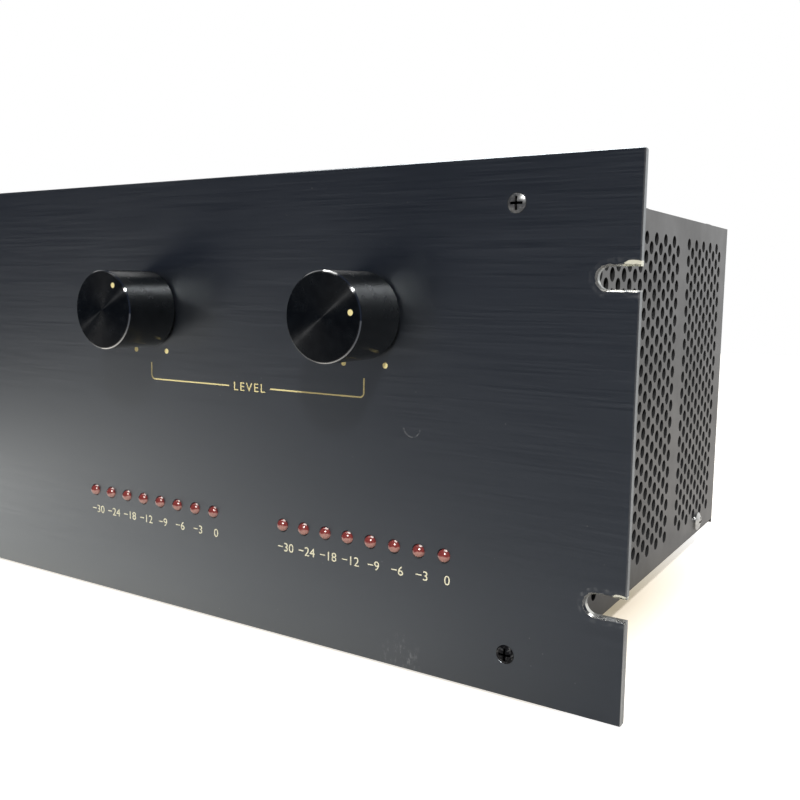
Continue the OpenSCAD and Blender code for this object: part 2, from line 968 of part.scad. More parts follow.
// Nuts with their washers, in front of the panel and under the knobs
module pot_nuts() {
    color("#b9b9b4")
        for (x = channels)
            facing_front(x, 0, knob_axis_z) {
                hollow_post(nut_corner_d, bush_d + fit, washer_t);
                translate([0, 0, washer_t])
                    hex_nut(nut_af, bush_d + fit, nut_t);
            }
}

// Level meter

// A lamp that looks along +Z, with the panel's face at Z = 0. Its legs reach down to the given depth
module lamp(leg_end) {
    r = led_d / 2;
    translate([0, 0, led_proud - r])
        sphere(r = r);
    translate([0, 0, -led_back])
        cylinder(r = r, h = led_l - r);
    translate([0, 0, -led_back])
        cylinder(d = lamp_rim_d, h = lamp_rim_t);
    for (s = [-1, 1])
        translate([s * leg_pitch / 2, 0, -leg_end])
            cylinder(d = leg_d, h = leg_end - led_back + lamp_rim_t / 2);
}

module level_lamps(channel) {
    color("#a02822")
        for (i = [0 : led_count - 1])
            facing_front(lamp_x(channel, i), 0, led_axis_z)
                lamp(meter_y);
}

module level_lamps_left() {
    level_lamps(channels[0]);
}

module level_lamps_right() {
    level_lamps(channels[1]);
}

module meter_board() {
    chip = [20, 4, 8];
    color("#2c6a3c")
        difference() {
            union() {
                translate([group_x, 0, led_axis_z])
                    block([-meter_w / 2, meter_y, -meter_h / 2],
                        [meter_w / 2, meter_y + board_t, meter_h / 2]);
                for (x = channels)
                    translate([x - chip.x / 2, meter_y + board_t / 2, led_axis_z - chip.z / 2])
                        cube(chip);
            }
            for (p = meter_posts_at)
                translate([p.x, 0, p.y])
                    rod_y(stud_d + fit, meter_y - cut, meter_y + board_t + cut);
        }
}

module meter_posts() {
    color("#c4b070")
        for (p = meter_posts_at) {
            facing_rear(p.x, back_y, p.y)
                hollow_post(2 * stud_d, stud_d + fit, meter_gap);
            facing_rear(p.x, meter_y + board_t, p.y)
                pan_screw(stud_d - fit, meter_screw_head, board_t + meter_gap - stud_l - air);
        }
}

module pilot_lamp() {
    color("#a02822")
        facing_front(-power_x, 0, power_axis_z + pilot_rise)
            lamp(back_y + led_l);
}

// Power switch

module at_power() {
    translate([-power_x, 0, power_axis_z])
        children();
}

module power_button() {
    w = button_w / 2;
    h = button_h / 2;
    b = button_edge / 2;
    lip_y = back_y + air;
    color("#131416")
        at_power() {
            hull() {
                block([b - w, -button_proud, b - h], [w - b, lip_y, h - b]);
                block([-w, b - button_proud, -h], [w, lip_y, h]);
            }
            block([-w - button_edge, lip_y, -h - button_edge],
                [w + button_edge, lip_y + button_lip, h + button_edge]);
            rod_y(plunger_d, lip_y, plunger_end);
        }
}

module switch_bracket() {
    h = button_h / 2;
    x = bracket_half;
    color("#a9a9a4")
        at_power()
            difference() {
                union() {
                    block([-x - pan_t, bracket_y, -h], [x + pan_t, switch_y, h]);
                    both_sides() {
                        block([x, back_y, -h], [x + pan_t, switch_y, h]);
                        block([x, back_y, -h], [x + pan_t + bracket_foot, back_y + pan_t, h]);
                    }
                }
                rod_y(plunger_d + 2 * air + 2 * run_gap, bracket_y - cut, switch_y + cut);
                for (p = bracket_studs)
                    translate([p.x, 0, p.y])
                        rod_y(stud_d + fit, back_y - cut, back_y + pan_t + cut);
            }
}

module power_switch() {
    h = button_h / 2;
    w = button_w / 2;
    lug = [5, 9, 0.8];
    color("#202123")
        at_power()
            difference() {
                union() {
                    block([-w, switch_y, -h], [w, switch_y + switch_l, h]);
                    for (s = [-1, 1])
                        translate([s * w / 2 - lug.x / 2, switch_y + switch_l - cut, -lug.z / 2])
                            cube(lug);
                }
                rod_y(plunger_d + 2 * run_gap, switch_y - cut, plunger_end + button_travel + cut);
            }
}

// Nuts on the studs behind the front panel
module bracket_nuts() {
    color("#b9b9b4")
        at_power()
            for (p = bracket_studs)
                facing_rear(p.x, back_y + pan_t, p.y)
                    hex_nut(1.8 * stud_d, stud_d + fit, 0.8 * stud_d);
}

// Cooling

module heat_sink() {
    low_y = sink_y - sink_l / 2;
    fins_y = sink_y - (fin_count - 1) * fin_pitch / 2 - fin_t / 2;
    difference() {
        translate([0, 0, pan_top])
            linear_extrude(sink_h) {
                translate([sink_in_x, low_y])
                    square([sink_base, sink_l]);
                for (i = [0 : fin_count - 1])
                    translate([sink_out_x - sink_base / 2, fins_y + i * fin_pitch])
                        square([fin_l + sink_base / 2, fin_t]);
            }
        for (y = sink_screws_y)
            translate([(sink_in_x + sink_out_x) / 2, y, pan_top - cut])
                cylinder(d = case_hole, h = case_screw_l + 2 * cut);
    }
}

// Flat plastic packages against the heat sink, with their legs bent over to the board
module output_transistors() {
    legs_x = sink_in_x - transistor.x / 2;
    legs_z = transistor_z - lead_drop;
    for (i = [0 : transistor_count - 1]) {
        y = sink_y + (i - (transistor_count - 1) / 2) * transistor_pitch;
        block([sink_in_x - transistor.x, y - transistor.y / 2, transistor_z],
            [sink_in_x, y + transistor.y / 2, transistor_z + transistor.z]);
        for (j = [-1, 0, 1]) {
            leg_y = y + j * lead_pitch - lead_t / 2;
            block([legs_x - lead_t, leg_y, legs_z],
                [legs_x, leg_y + lead_t, transistor_z + lead_t]);
            block([amp_board_x + board_t, leg_y, legs_z],
                [legs_x, leg_y + lead_t, legs_z + lead_t]);
        }
    }
}

// Corners of an amplifier board's posts, as depth and height
function amp_posts() = [for (s = [-1, 1], z = [post_inset, amp_board_h - post_inset])
    [sink_y + s * (amp_board_l / 2 - post_inset), amp_board_z + z]];

module amp_board() {
    tank_d = 14;
    tank_l = 22;
    tank_z = amp_board_z + amp_board_h * 0.82;
    resistor = [7, 26, 10];
    resistor_z = amp_board_z + amp_board_h * 0.2;
    low_y = sink_y - amp_board_l / 2;
    difference() {
        union() {
            block([amp_board_x, low_y, amp_board_z],
                [amp_board_x + board_t, low_y + amp_board_l, amp_board_z + amp_board_h]);
            for (y = [sink_y - amp_board_l / 4, sink_y + amp_board_l / 4]) {
                translate([amp_board_x + board_t / 2, y, tank_z])
                    rotate([0, -90, 0])
                        cylinder(d = tank_d, h = tank_l);
                translate([amp_board_x - resistor.x, y - resistor.y / 2, resistor_z])
                    cube([resistor.x + board_t / 2, resistor.y, resistor.z]);
            }
        }
        for (p = amp_posts())
            facing_right(amp_board_x - cut, p[0], p[1])
                cylinder(d = stud_d + fit, h = board_t + 2 * cut);
    }
}

module heat_sink_left() {
    color("#4a4b4e")
        mirror([1, 0, 0])
            heat_sink();
}

module heat_sink_right() {
    color("#4a4b4e")
        heat_sink();
}

module output_transistors_left() {
    color("#1a1a1a")
        mirror([1, 0, 0])
            output_transistors();
}

module output_transistors_right() {
    color("#1a1a1a")
        output_transistors();
}

module amp_board_left() {
    color("#2c6a3c")
        mirror([1, 0, 0])
            amp_board();
}

module amp_board_right() {
    color("#2c6a3c")
        amp_board();
}

// Posts of the amplifier boards and of the protection board
module board_posts() {
    color("#c4b070") {
        both_sides()
            for (p = amp_posts())
                facing_right(amp_board_x + board_t, p[0], p[1])
                    hollow_post(board_post_d, stud_d + fit, amp_board_gap);
        for (p = guard_posts_at)
            translate([p.x, p.y, pan_top])
                hollow_post(board_post_d, stud_d + fit, guard_post);
    }
}

// Power supply

module at_core(z) {
    translate([-core_x, core_y, z])
        children();
}

// A taped ring with round edges
module ring_transformer() {
    ring_w = (core_d - core_hole) / 2;
    r = min(ring_w, core_h) / 4;
    color("#8a8470")
        at_core(core_z)
            rotate_extrude()
                translate([core_hole / 2 + ring_w / 2, 0])
                    round_rect(ring_w, core_h, r);
}

module transformer_pads() {
    color("#1a1a1a")
        for (z = [pan_top, core_z + core_h])
            at_core(z)
                hollow_post(pad_d, core_hole, pad_t);
}

// A dished plate that presses the ring down, sunk in its middle
module transformer_dish() {
    r = pad_d / 2;
    well_r = core_hole / 2 - dish_play;
    slope = 4;
    hole_r = (core_bolt_d + fit) / 2;
    t = pan_t;
    color("#b0b0aa")
        at_core(dish_z)
            rotate_extrude()
                polygon([[hole_r, -dish_depth], [well_r - slope, -dish_depth], [well_r, 0], [r, 0],
                    [r, t], [well_r - cut, t], [well_r - slope - cut, t - dish_depth],
                    [hole_r, t - dish_depth]]);
}

module transformer_bolt() {
    head_h = 0.4 * core_bolt_d;
    nut_z = dish_z - dish_depth + pan_t;
    nut_h = 0.8 * core_bolt_d;
    color("#c9c9c6")
        at_core(0) {
            translate([0, 0, foot_h - head_h])
                cylinder(d = 1.9 * core_bolt_d, h = head_h, $fn = 6);
            translate([0, 0, foot_h - head_h / 2])
                cylinder(d = core_bolt_d, h = nut_z + nut_h + bolt_over - foot_h + head_h / 2);
            translate([0, 0, nut_z])
                cylinder(d = 1.9 * core_bolt_d, h = nut_h, $fn = 6);
        }
}

module filter_capacitors() {
    r = cap_d / 2;
    rim = 2;
    stud_h = 5;
    color("#23305c")
        for (y = caps_y)
            translate([cap_x, y, pan_top]) {
                rotate_extrude()
                    polygon([[0, 0], [r, 0], [r, cap_h], [r - rim, cap_h], [r - rim, cap_h - rim],
                        [0, cap_h - rim]]);
                for (s = [-1, 1])
                    translate([s * cap_d / 4.5, 0, cap_h - 2 * rim])
                        cylinder(d = cap_d / 5, h = 2 * rim + stud_h);
            }
}

// Sheet rings round the capacitors, each with two feet on the base pan
module capacitor_clamps() {
    color("#b0b0aa")
        difference() {
            for (y = caps_y)
                translate([cap_x, y, pan_top])
                    difference() {
                        union() {
                            cylinder(r = clamp_reach, h = clamp_h);
                            block([-clamp_reach - clamp_tab, -clamp_tab_w / 2, 0],
                                [clamp_reach + clamp_tab, clamp_tab_w / 2, clamp_t]);
                        }
                        translate([0, 0, -cut])
                            cylinder(r = cap_d / 2 + clamp_gap, h = clamp_h + 2 * cut);
                    }
            for (p = clamp_screws_at)
                translate([p.x, p.y, pan_top - cut])
                    cylinder(d = stud_d + fit, h = clamp_t + 2 * cut);
        }
}

module clamp_screws() {
    color("#c9c9c6")
        for (p = clamp_screws_at)
            translate([p.x, p.y, pan_top + clamp_t])
                pan_screw(stud_d, 2 * stud_d, clamp_t + pan_t + clamp_screw_end);
}

module bridge_rectifier() {
    lug = [6.3, 0.8, 13];
    w = bridge_w / 2;
    color("#202022")
        translate([cap_x, bridge_y, pan_top]) {
            block([-w, -w, 0], [w, w, bridge_h]);
            for (x = [-1, 1], y = [-1, 1])
                translate([x * w * 0.6 - lug.x / 2, y * w * 0.6, bridge_h - cut])
                    cube(lug);
        }
}

// The speaker relay and a small transformer stand on this board
module protection_board() {
    x = guard_x;
    top = guard_z + board_t / 2;
    color("#2c6a3c")
        difference() {
            union() {
                block([x - guard_l / 2, guard_y - guard_w / 2, guard_z],
                    [x + guard_l / 2, guard_y + guard_w / 2, guard_z + board_t]);
                translate([x + guard_l / 4 - relay_l / 2, guard_y - relay_w / 2, top])
                    cube([relay_l, relay_w, relay_h]);
                translate([x - guard_l / 4 - supply_l / 2, guard_y - supply_w / 2, top])
                    cube([supply_l, supply_w, supply_h]);
            }
            for (p = guard_posts_at)
                translate([p.x, p.y, guard_z - cut])
                    cylinder(d = stud_d + fit, h = board_t + 2 * cut);
        }
}

// Rear panel

// The outline of a mains inlet, with two cut corners at the top
module inlet_outline(w, h) {
    c = h / 4;
    polygon([[-w / 2, -h / 2], [w / 2, -h / 2], [w / 2, h / 2 - c], [w / 2 - c, h / 2],
        [c - w / 2, h / 2], [-w / 2, h / 2 - c]]);
}

module mains_inlet() {
    tab_w = inlet_screw_pitch / 2 + inlet_tab;
    tab_h = 4;
    flange_h = 12;
    slope = 9;
    tail_y = rear_y - inlet_l;
    tail_l = 9;
    face_y = rear_y + inlet_flange_t;
    floor_y = face_y - inlet_depth;
    blade = [2, 14, 4];
    blades = [[0, 3.5], [-7, -2.5], [7, -2.5]];
    color("#161617")
        translate([-inlet_x, 0, inlet_z]) {
            difference() {
                union() {
                    plate_y(tail_y, rear_y + inlet_flange_t / 2)
                        inlet_outline(inlet_w, inlet_h);
                    plate_y(rear_y, face_y)
                        polygon([[-tab_w, -tab_h], [slope - tab_w, -flange_h],
                            [tab_w - slope, -flange_h], [tab_w, -tab_h], [tab_w, tab_h],
                            [tab_w - slope, flange_h], [slope - tab_w, flange_h], [-tab_w, tab_h]]);
                }
                plate_y(floor_y, face_y + cut)
                    inlet_outline(inlet_w - 2 * inlet_wall, inlet_h - 2 * inlet_wall);
                for (s = [-1, 1])
                    translate([s * inlet_screw_pitch / 2, 0, 0])
                        rod_y(stud_d + fit, rear_y - cut, face_y + cut);
            }
            for (p = blades) {
                block([p.x - blade.x / 2, floor_y - cut, p.y - blade.z / 2],
                    [p.x + blade.x / 2, floor_y + blade.y, p.y + blade.z / 2]);
                block([p.x - blade.x / 2, tail_y - tail_l, p.y - blade.z / 2],
                    [p.x + blade.x / 2, tail_y + cut, p.y + blade.z / 2]);
            }
        }
}

module at_fuse() {
    translate([-fuse_x, 0, inlet_z])
        children();
}

module fuse_holder() {
    face_y = rear_y + fuse_flange_t;
    color("#161617")
        at_fuse()
            difference() {
                union() {
                    rod_y(fuse_body_d, rear_y - fuse_l, face_y);
                    rod_y(fuse_flange_d, rear_y, face_y);
                }
                rod_y(fuse_stem_d + 2 * run_gap, face_y - fuse_stem_l - cut, face_y + cut);
                rod_y(fuse_d + fit, face_y - fuse_stem_l - cut - fuse_tube_l - air, face_y);
            }
}

module mains_fuse() {
    end_y = rear_y + fuse_flange_t - fuse_stem_l - cut;
    color("#d8dcd8")
        at_fuse()
            rod_y(fuse_d, end_y - fuse_tube_l, end_y);
}

module fuse_cap() {
    face_y = rear_y + fuse_flange_t + air;
    end_y = face_y + fuse_cap_l;
    color("#1c1c1d")
        at_fuse()
            difference() {
                union() {
                    rod_y(fuse_cap_d, face_y, end_y);
                    rod_y(fuse_stem_d, face_y - air - fuse_stem_l, face_y + cut);
                }
                block([-fuse_cap_d, end_y - fuse_slot, -fuse_slot / 2],
                    [fuse_cap_d, end_y + cut, fuse_slot / 2]);
                grip_flutes(fuse_cap_d, face_y + fuse_cap_l / 3, end_y + cut);
            }
}

// Round grooves along a cap that give the fingers a grip
module grip_flutes(d, from, to, count = 12) {
    for (i = [0 : count - 1])
        rotate([0, (i + 0.5) * 360 / count, 0])
            translate([d / 2, 0, 0])
                rod_y(d / 9, from, to);
}

module input_jacks() {
    face_y = rear_y + jack_proud;
    color("#161617")
        for (x = outs_x)
            translate([x, 0, jack_z])
                difference() {
                    union() {
                        rod_y(jack_bush_d, rear_in - jack_body.y / 2, face_y);
                        block([-jack_body.x / 2, rear_in - jack_body.y, -jack_body.z / 2],
                            [jack_body.x / 2, rear_in, jack_body.z / 2]);
                    }
                    rod_y(jack_d, face_y - jack_l, face_y + cut);
                }
}

// Brass studs with a collar that the cap clamps a wire against
module speaker_studs() {
    collar_y = rear_y + post_flange_t;
    color("#c9a24a")
        for (x = posts_x)
            translate([x, 0, post_z])
                difference() {
                    union() {
                        rod_y(post_d, rear_in - post_tail, rear_y + post_l);
                        rod_y(post_boss_d, collar_y, collar_y + post_collar_t);
                    }
                    rod_y(plug_d, rear_y + post_l - plug_l, rear_y + post_l + cut);
                }
}

// Flanged bushes outside the rear panel and washers inside it
module speaker_insulators() {
    color("#1c1c1d")
        for (x = posts_x)
            translate([x, 0, post_z])
                difference() {
                    union() {
                        rod_y(post_boss_d, rear_in, rear_y + cut);
                        rod_y(post_ring_d, rear_y, rear_y + post_flange_t);
                        rod_y(post_ring_d, rear_in - post_flange_t, rear_in);
                    }
                    rod_y(post_d + fit, rear_in - post_flange_t - cut, rear_y + post_flange_t + cut);
                }
}

// Nuts of the posts and the fuse inside the rear panel, and of the jacks outside it
module rear_nuts() {
    color("#b9b9b4") {
        for (x = posts_x)
            facing_front(x, rear_in - post_flange_t, post_z)
                hex_nut(1.7 * post_d, post_d + fit, rear_nut_t);
        for (x = outs_x)
            facing_rear(x, rear_y, jack_z)
                hex_nut(jack_nut_af, jack_bush_d + fit, jack_nut_t);
        facing_front(-fuse_x, rear_in, inlet_z)
            hex_nut(1.3 * fuse_body_d, fuse_body_d + fit, rear_nut_t);
    }
}

module speaker_cap(i, tint) {
    end_y = rear_y + post_l - air;
    color(tint)
        translate([posts_x[i], 0, post_z])
            difference() {
                rod_y(post_cap_d, cap_y, end_y);
                rod_y(post_d + 2 * run_gap, cap_y - cut, end_y + cut);
                grip_flutes(post_cap_d, cap_y + post_collar_t, end_y + cut);
            }
}

module speaker_cap_left_black() {
    speaker_cap(0, "#161617");
}

module speaker_cap_left_red() {
    speaker_cap(1, "#a01c1a");
}

module speaker_cap_right_black() {
    speaker_cap(2, "#161617");
}

module speaker_cap_right_red() {
    speaker_cap(3, "#a01c1a");
}

in_frame() front_panel();
in_frame() panel_screws();
in_frame() side_panel_left();
in_frame() side_panel_right();
in_frame() side_screws();
in_frame() lid();
in_frame() lid_screws();
in_frame() base_pan();
in_frame() rear_panel();
in_frame() rear_screws();
in_frame() rubber_feet();
in_frame() pan_screws();
in_frame() level_knob_left();
in_frame() level_knob_right();
in_frame() grub_screw_left();
in_frame() grub_screw_right();
in_frame() pot_shaft_left();
in_frame() pot_shaft_right();
in_frame() level_pot_left();
in_frame() level_pot_right();
in_frame() pot_nuts();
in_frame() level_lamps_left();
in_frame() level_lamps_right();
in_frame() meter_board();
in_frame() meter_posts();
in_frame() pilot_lamp();
in_frame() power_button();
in_frame() power_switch();
in_frame() switch_bracket();
in_frame() bracket_nuts();
in_frame() heat_sink_left();
in_frame() heat_sink_right();
in_frame() output_transistors_left();
in_frame() output_transistors_right();
in_frame() amp_board_left();
in_frame() amp_board_right();
in_frame() board_posts();
in_frame() ring_transformer();
in_frame() transformer_pads();
in_frame() transformer_dish();
in_frame() transformer_bolt();
in_frame() filter_capacitors();
in_frame() capacitor_clamps();
in_frame() clamp_screws();
in_frame() bridge_rectifier();
in_frame() protection_board();
in_frame() mains_inlet();
in_frame() fuse_holder();
in_frame() mains_fuse();
in_frame() fuse_cap();
in_frame() input_jacks();
in_frame() speaker_studs();
in_frame() speaker_insulators();
in_frame() rear_nuts();
in_frame() speaker_cap_left_black();
in_frame() speaker_cap_left_red();
in_frame() speaker_cap_right_black();
in_frame() speaker_cap_right_red();
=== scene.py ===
"""Looks of the stereo power amplifier: finishes for its solids, panel legends, studio and camera.

All sizes are metres in the shared frame: +X right, +Y towards the rear panel, +Z up, floor at Z = 0.
"""

import json
import logging
import math
from dataclasses import dataclass, replace
from enum import Enum
from functools import cache
from typing import Any, ClassVar, Mapping, Optional, Sequence, Union

import bmesh
import bpy
from mathutils import Matrix, Vector

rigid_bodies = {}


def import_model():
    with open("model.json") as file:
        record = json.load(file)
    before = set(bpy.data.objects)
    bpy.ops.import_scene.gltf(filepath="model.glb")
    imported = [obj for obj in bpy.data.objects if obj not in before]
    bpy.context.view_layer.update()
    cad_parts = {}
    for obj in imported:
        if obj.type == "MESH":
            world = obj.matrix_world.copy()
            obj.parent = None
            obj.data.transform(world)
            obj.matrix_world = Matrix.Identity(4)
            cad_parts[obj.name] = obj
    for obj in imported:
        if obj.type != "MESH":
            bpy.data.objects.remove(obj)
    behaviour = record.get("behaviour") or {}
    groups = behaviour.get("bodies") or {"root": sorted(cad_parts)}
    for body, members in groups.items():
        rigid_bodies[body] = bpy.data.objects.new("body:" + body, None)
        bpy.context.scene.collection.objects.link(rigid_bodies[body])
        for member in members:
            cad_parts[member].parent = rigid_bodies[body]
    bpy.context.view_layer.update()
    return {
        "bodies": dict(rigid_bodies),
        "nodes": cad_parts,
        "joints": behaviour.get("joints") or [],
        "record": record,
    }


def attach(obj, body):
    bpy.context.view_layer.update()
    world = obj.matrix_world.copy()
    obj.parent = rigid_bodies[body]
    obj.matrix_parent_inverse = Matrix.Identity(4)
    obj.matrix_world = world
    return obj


LOG = logging.getLogger("amplifier")

Colour = tuple[float, float, float]
Triple = tuple[float, float, float]
Pair = tuple[float, float]
Cells = Union[float, Triple]
Piece = bpy.types.Object
Socket = bpy.types.NodeSocket
Value = Union[float, Socket]

# Places that several pieces share
PANEL_Y = -0.1241
PANEL_MID_Z = 0.0895
KNOB_Z = 0.1268
KNOB_REACH = 0.0248
KNOB_FACE_Y = PANEL_Y - KNOB_REACH
LAMP_Z = 0.0453
LAMP_PITCH = 0.01016
PILOT_Z = 0.0696

# Print and paint on the panel
PRINT_T = 0.00004
LETTER_STEPS = 5
LETTER_EXTRUDE = 0.01
LETTER_STRETCH = 1.04
LETTER_MERGE = 2e-6
DOT_SIDES = 32
DOT_CROWN = 0.3
DOT_INSET = 0.14
DOT_SMOOTH_DEG = 40.0
SAME_PLACE = 1e-6
UPRIGHT: Triple = (math.pi / 2, 0.0, 0.0)

# Node values: where most noise lies, its finer octaves, and what Blender's wave turns by in a metre
NOISE_SPAN: Pair = (0.3, 0.7)
OCTAVES = 3.0
WAVE_TURN = 20.0
QUARTER_TURN = 0.25
BLACK: Colour = (0.0, 0.0, 0.0)
WHITE: Colour = (1.0, 1.0, 1.0)


class Body(str, Enum):
    """The moving bodies that new pieces ride on."""

    CHASSIS = "chassis"
    LEFT = "left_level"
    RIGHT = "right_level"


class Channel(Enum):
    """The two channels: knob axis X, where the knob points in degrees from up, and its body."""

    LEFT = (0.0360, 34.0, Body.LEFT)
    RIGHT = (0.1434, 81.0, Body.RIGHT)

    @property
    def x(self) -> float:
        """The channel's middle along X."""
        return self.value[0]

    @property
    def points(self) -> float:
        """The knob's heading in radians, clockwise from straight up."""
        return math.radians(self.value[1])

    @property
    def body(self) -> Body:
        """The body that the knob turns with."""
        return self.value[2]


class Nodes:
    """A node tree, with short calls for the nodes that the finishes share."""

    def __init__(self, tree: bpy.types.NodeTree, space: str) -> None:
        """Empties a tree and starts it with its coordinates.

        Args:
            tree: The tree of a material or of the world.
            space: The coordinates that its patterns read.
        """
        tree.nodes.clear()
        self.tree = tree
        self.coords = self.add("ShaderNodeTexCoord").outputs[space]

    def add(self, kind: str, fed: Optional[Mapping[Any, Any]] = None, **settings: Any) -> bpy.types.Node:
        """Adds a node, sets its properties and feeds its inputs.

        Args:
            kind: Blender's name for the node type.
            fed: What goes into its inputs, by their name or number.
            **settings: Properties to set on it.

        Returns:
            The new node.
        """
        node = self.tree.nodes.new(kind)
        for key, value in settings.items():
            setattr(node, key, value)
        for key, value in (fed or {}).items():
            self.feed(node.inputs[key], value)
        return node

    def feed(self, socket: Socket, value: Any) -> None:
        """Links a socket into another, or sets a constant on it.

        Args:
            socket: The input that takes the value.
            value: An output socket, a number, a vector or a colour.
        """
        if isinstance(value, Socket):
            self.tree.links.new(value, socket)
        elif socket.type == "RGBA":
            socket.default_value = (*value, 1.0)
        else:
            socket.default_value = value

    def place(self, cells: Cells, centre: Triple = (0.0, 0.0, 0.0)) -> Socket:
        """The coordinates about a centre, stretched per axis.

        Args:
            cells: Cells per metre along X, Y and Z, or one number for all three.
            centre: Point that becomes the pattern's origin.

        Returns:
            The mapped vector.
        """
        scale = cells if isinstance(cells, tuple) else (cells,) * 3
        shift = tuple(-c * s for c, s in zip(centre, scale))
        fed = {"Vector": self.coords, "Scale": scale, "Location": shift}
        return self.add("ShaderNodeMapping", fed).outputs["Vector"]

    def noise(self, cells: Cells, octaves: float = 2.0, rough: float = 0.5) -> Socket:
        """Smooth noise between about 0.25 and 0.75, with finer octaves of a given weight."""
        fed = {"Vector": self.place(cells), "Scale": 1.0, "Detail": octaves, "Roughness": rough}
        return self.add("ShaderNodeTexNoise", fed).outputs["Fac"]

    def scatter(self, cells: Cells) -> Socket:
        """Distance to the nearest of scattered points, in cells."""
        fed = {"Vector": self.place(cells), "Scale": 1.0}
        return self.add("ShaderNodeTexVoronoi", fed).outputs["Distance"]

    def rings(self, centre: Triple, pitch: float) -> Socket:
        """Fine rings about an axis along Y through a point, as a wave between 0 and 1."""
        fed = {"Vector": self.place(1.0, centre), "Scale": math.tau / (WAVE_TURN * pitch)}
        return self.add("ShaderNodeTexWave", fed, wave_type="RINGS", rings_direction="Y").outputs["Fac"]

    def axes(self) -> Sequence[Socket]:
        """X, Y and Z of the coordinates."""
        return self.add("ShaderNodeSeparateXYZ", {0: self.coords}).outputs

    def math(self, operation: str, *operands: Value) -> Socket:
        """One step of arithmetic, by Blender's name for the operation."""
        return self.add("ShaderNodeMath", dict(enumerate(operands)), operation=operation).outputs[0]

    def plus(self, first: Value, second: Value) -> Socket:
        """The sum of two values."""
        return self.math("ADD", first, second)

    def minus(self, first: Value, second: Value) -> Socket:
        """The first value less the second."""
        return self.math("SUBTRACT", first, second)

    def times(self, first: Value, second: Value) -> Socket:
        """The product of two values."""
        return self.math("MULTIPLY", first, second)

    def most(self, first: Value, second: Value) -> Socket:
        """The larger of two values."""
        return self.math("MAXIMUM", first, second)

    def size(self, value: Value) -> Socket:
        """A value without its sign."""
        return self.math("ABSOLUTE", value)

    def weigh(self, first: Value, second: Value, share: float) -> Socket:
        """A share of the first value and the rest of the second."""
        return self.plus(self.times(first, share), self.times(second, 1.0 - share))

    def beyond(self, point: Triple) -> Socket:
        """Distance from a point."""
        fed = {0: self.coords, 1: point}
        return self.add("ShaderNodeVectorMath", fed, operation="DISTANCE").outputs["Value"]

    def hypot(self, first: Value, second: Value) -> Socket:
        """Length of the long side over two short ones."""
        return self.math("SQRT", self.plus(self.times(first, first), self.times(second, second)))

    def away(self, x: float, z: float) -> Socket:
        """Distance from an axis along Y that stands at an X and a Z."""
        across, _, rise = self.axes()
        return self.hypot(self.minus(across, x), self.minus(rise, z))

    def remap(self, value: Value, low: float, high: float, start: float = 0.0, end: float = 1.0) -> Socket:
        """Maps the values from low to high onto those from start to end, clamped at both."""
        fed = {"Value": value, "From Min": low, "From Max": high, "To Min": start, "To Max": end}
        return self.add("ShaderNodeMapRange", fed).outputs["Result"]

    def fall(self, value: Value, low: float, high: float) -> Socket:
        """1 where a value is low, and 0 where it is high."""
        return self.remap(value, low, high, 1.0, 0.0)

    def ragged(self, cells: Cells, reach: float, octaves: float = 2.0) -> Socket:
        """Noise that strays by a reach to both sides of 0."""
        return self.remap(self.noise(cells, octaves), *NOISE_SPAN, -reach, reach)

    def blend(self, factor: Value, first: Any, second: Any) -> Socket:
        """Mixes two colours: a factor of 0 gives the first, 1 the second."""
        return self.add("ShaderNodeMix", {0: factor, 6: first, 7: second}, data_type="RGBA").outputs[2]

    def bump(self, height: Value, strength: float, depth: float) -> Socket:
        """A normal from a height between 0 and 1, over a relief of a depth in metres."""
        fed = {"Height": height, "Strength": strength, "Distance": depth}
        return self.add("ShaderNodeBump", fed).outputs["Normal"]


class Graph(Nodes):
    """A material's nodes on object coordinates, with a principled shader."""

    def __init__(self, name: str) -> None:
        """Starts the material.

        Args:
            name: Name of the material.
        """
        self.material = bpy.data.materials.new(name)
        self.material.use_nodes = True
        super().__init__(self.material.node_tree, "Object")
        self.shader = self.add("ShaderNodeBsdfPrincipled")
        self.add("ShaderNodeOutputMaterial", {"Surface": self.shader.outputs["BSDF"]})

    def set(self, name: str, value: Any) -> None:
        """Sets or links one of the shader's own inputs."""
        self.feed(self.shader.inputs[name], value)


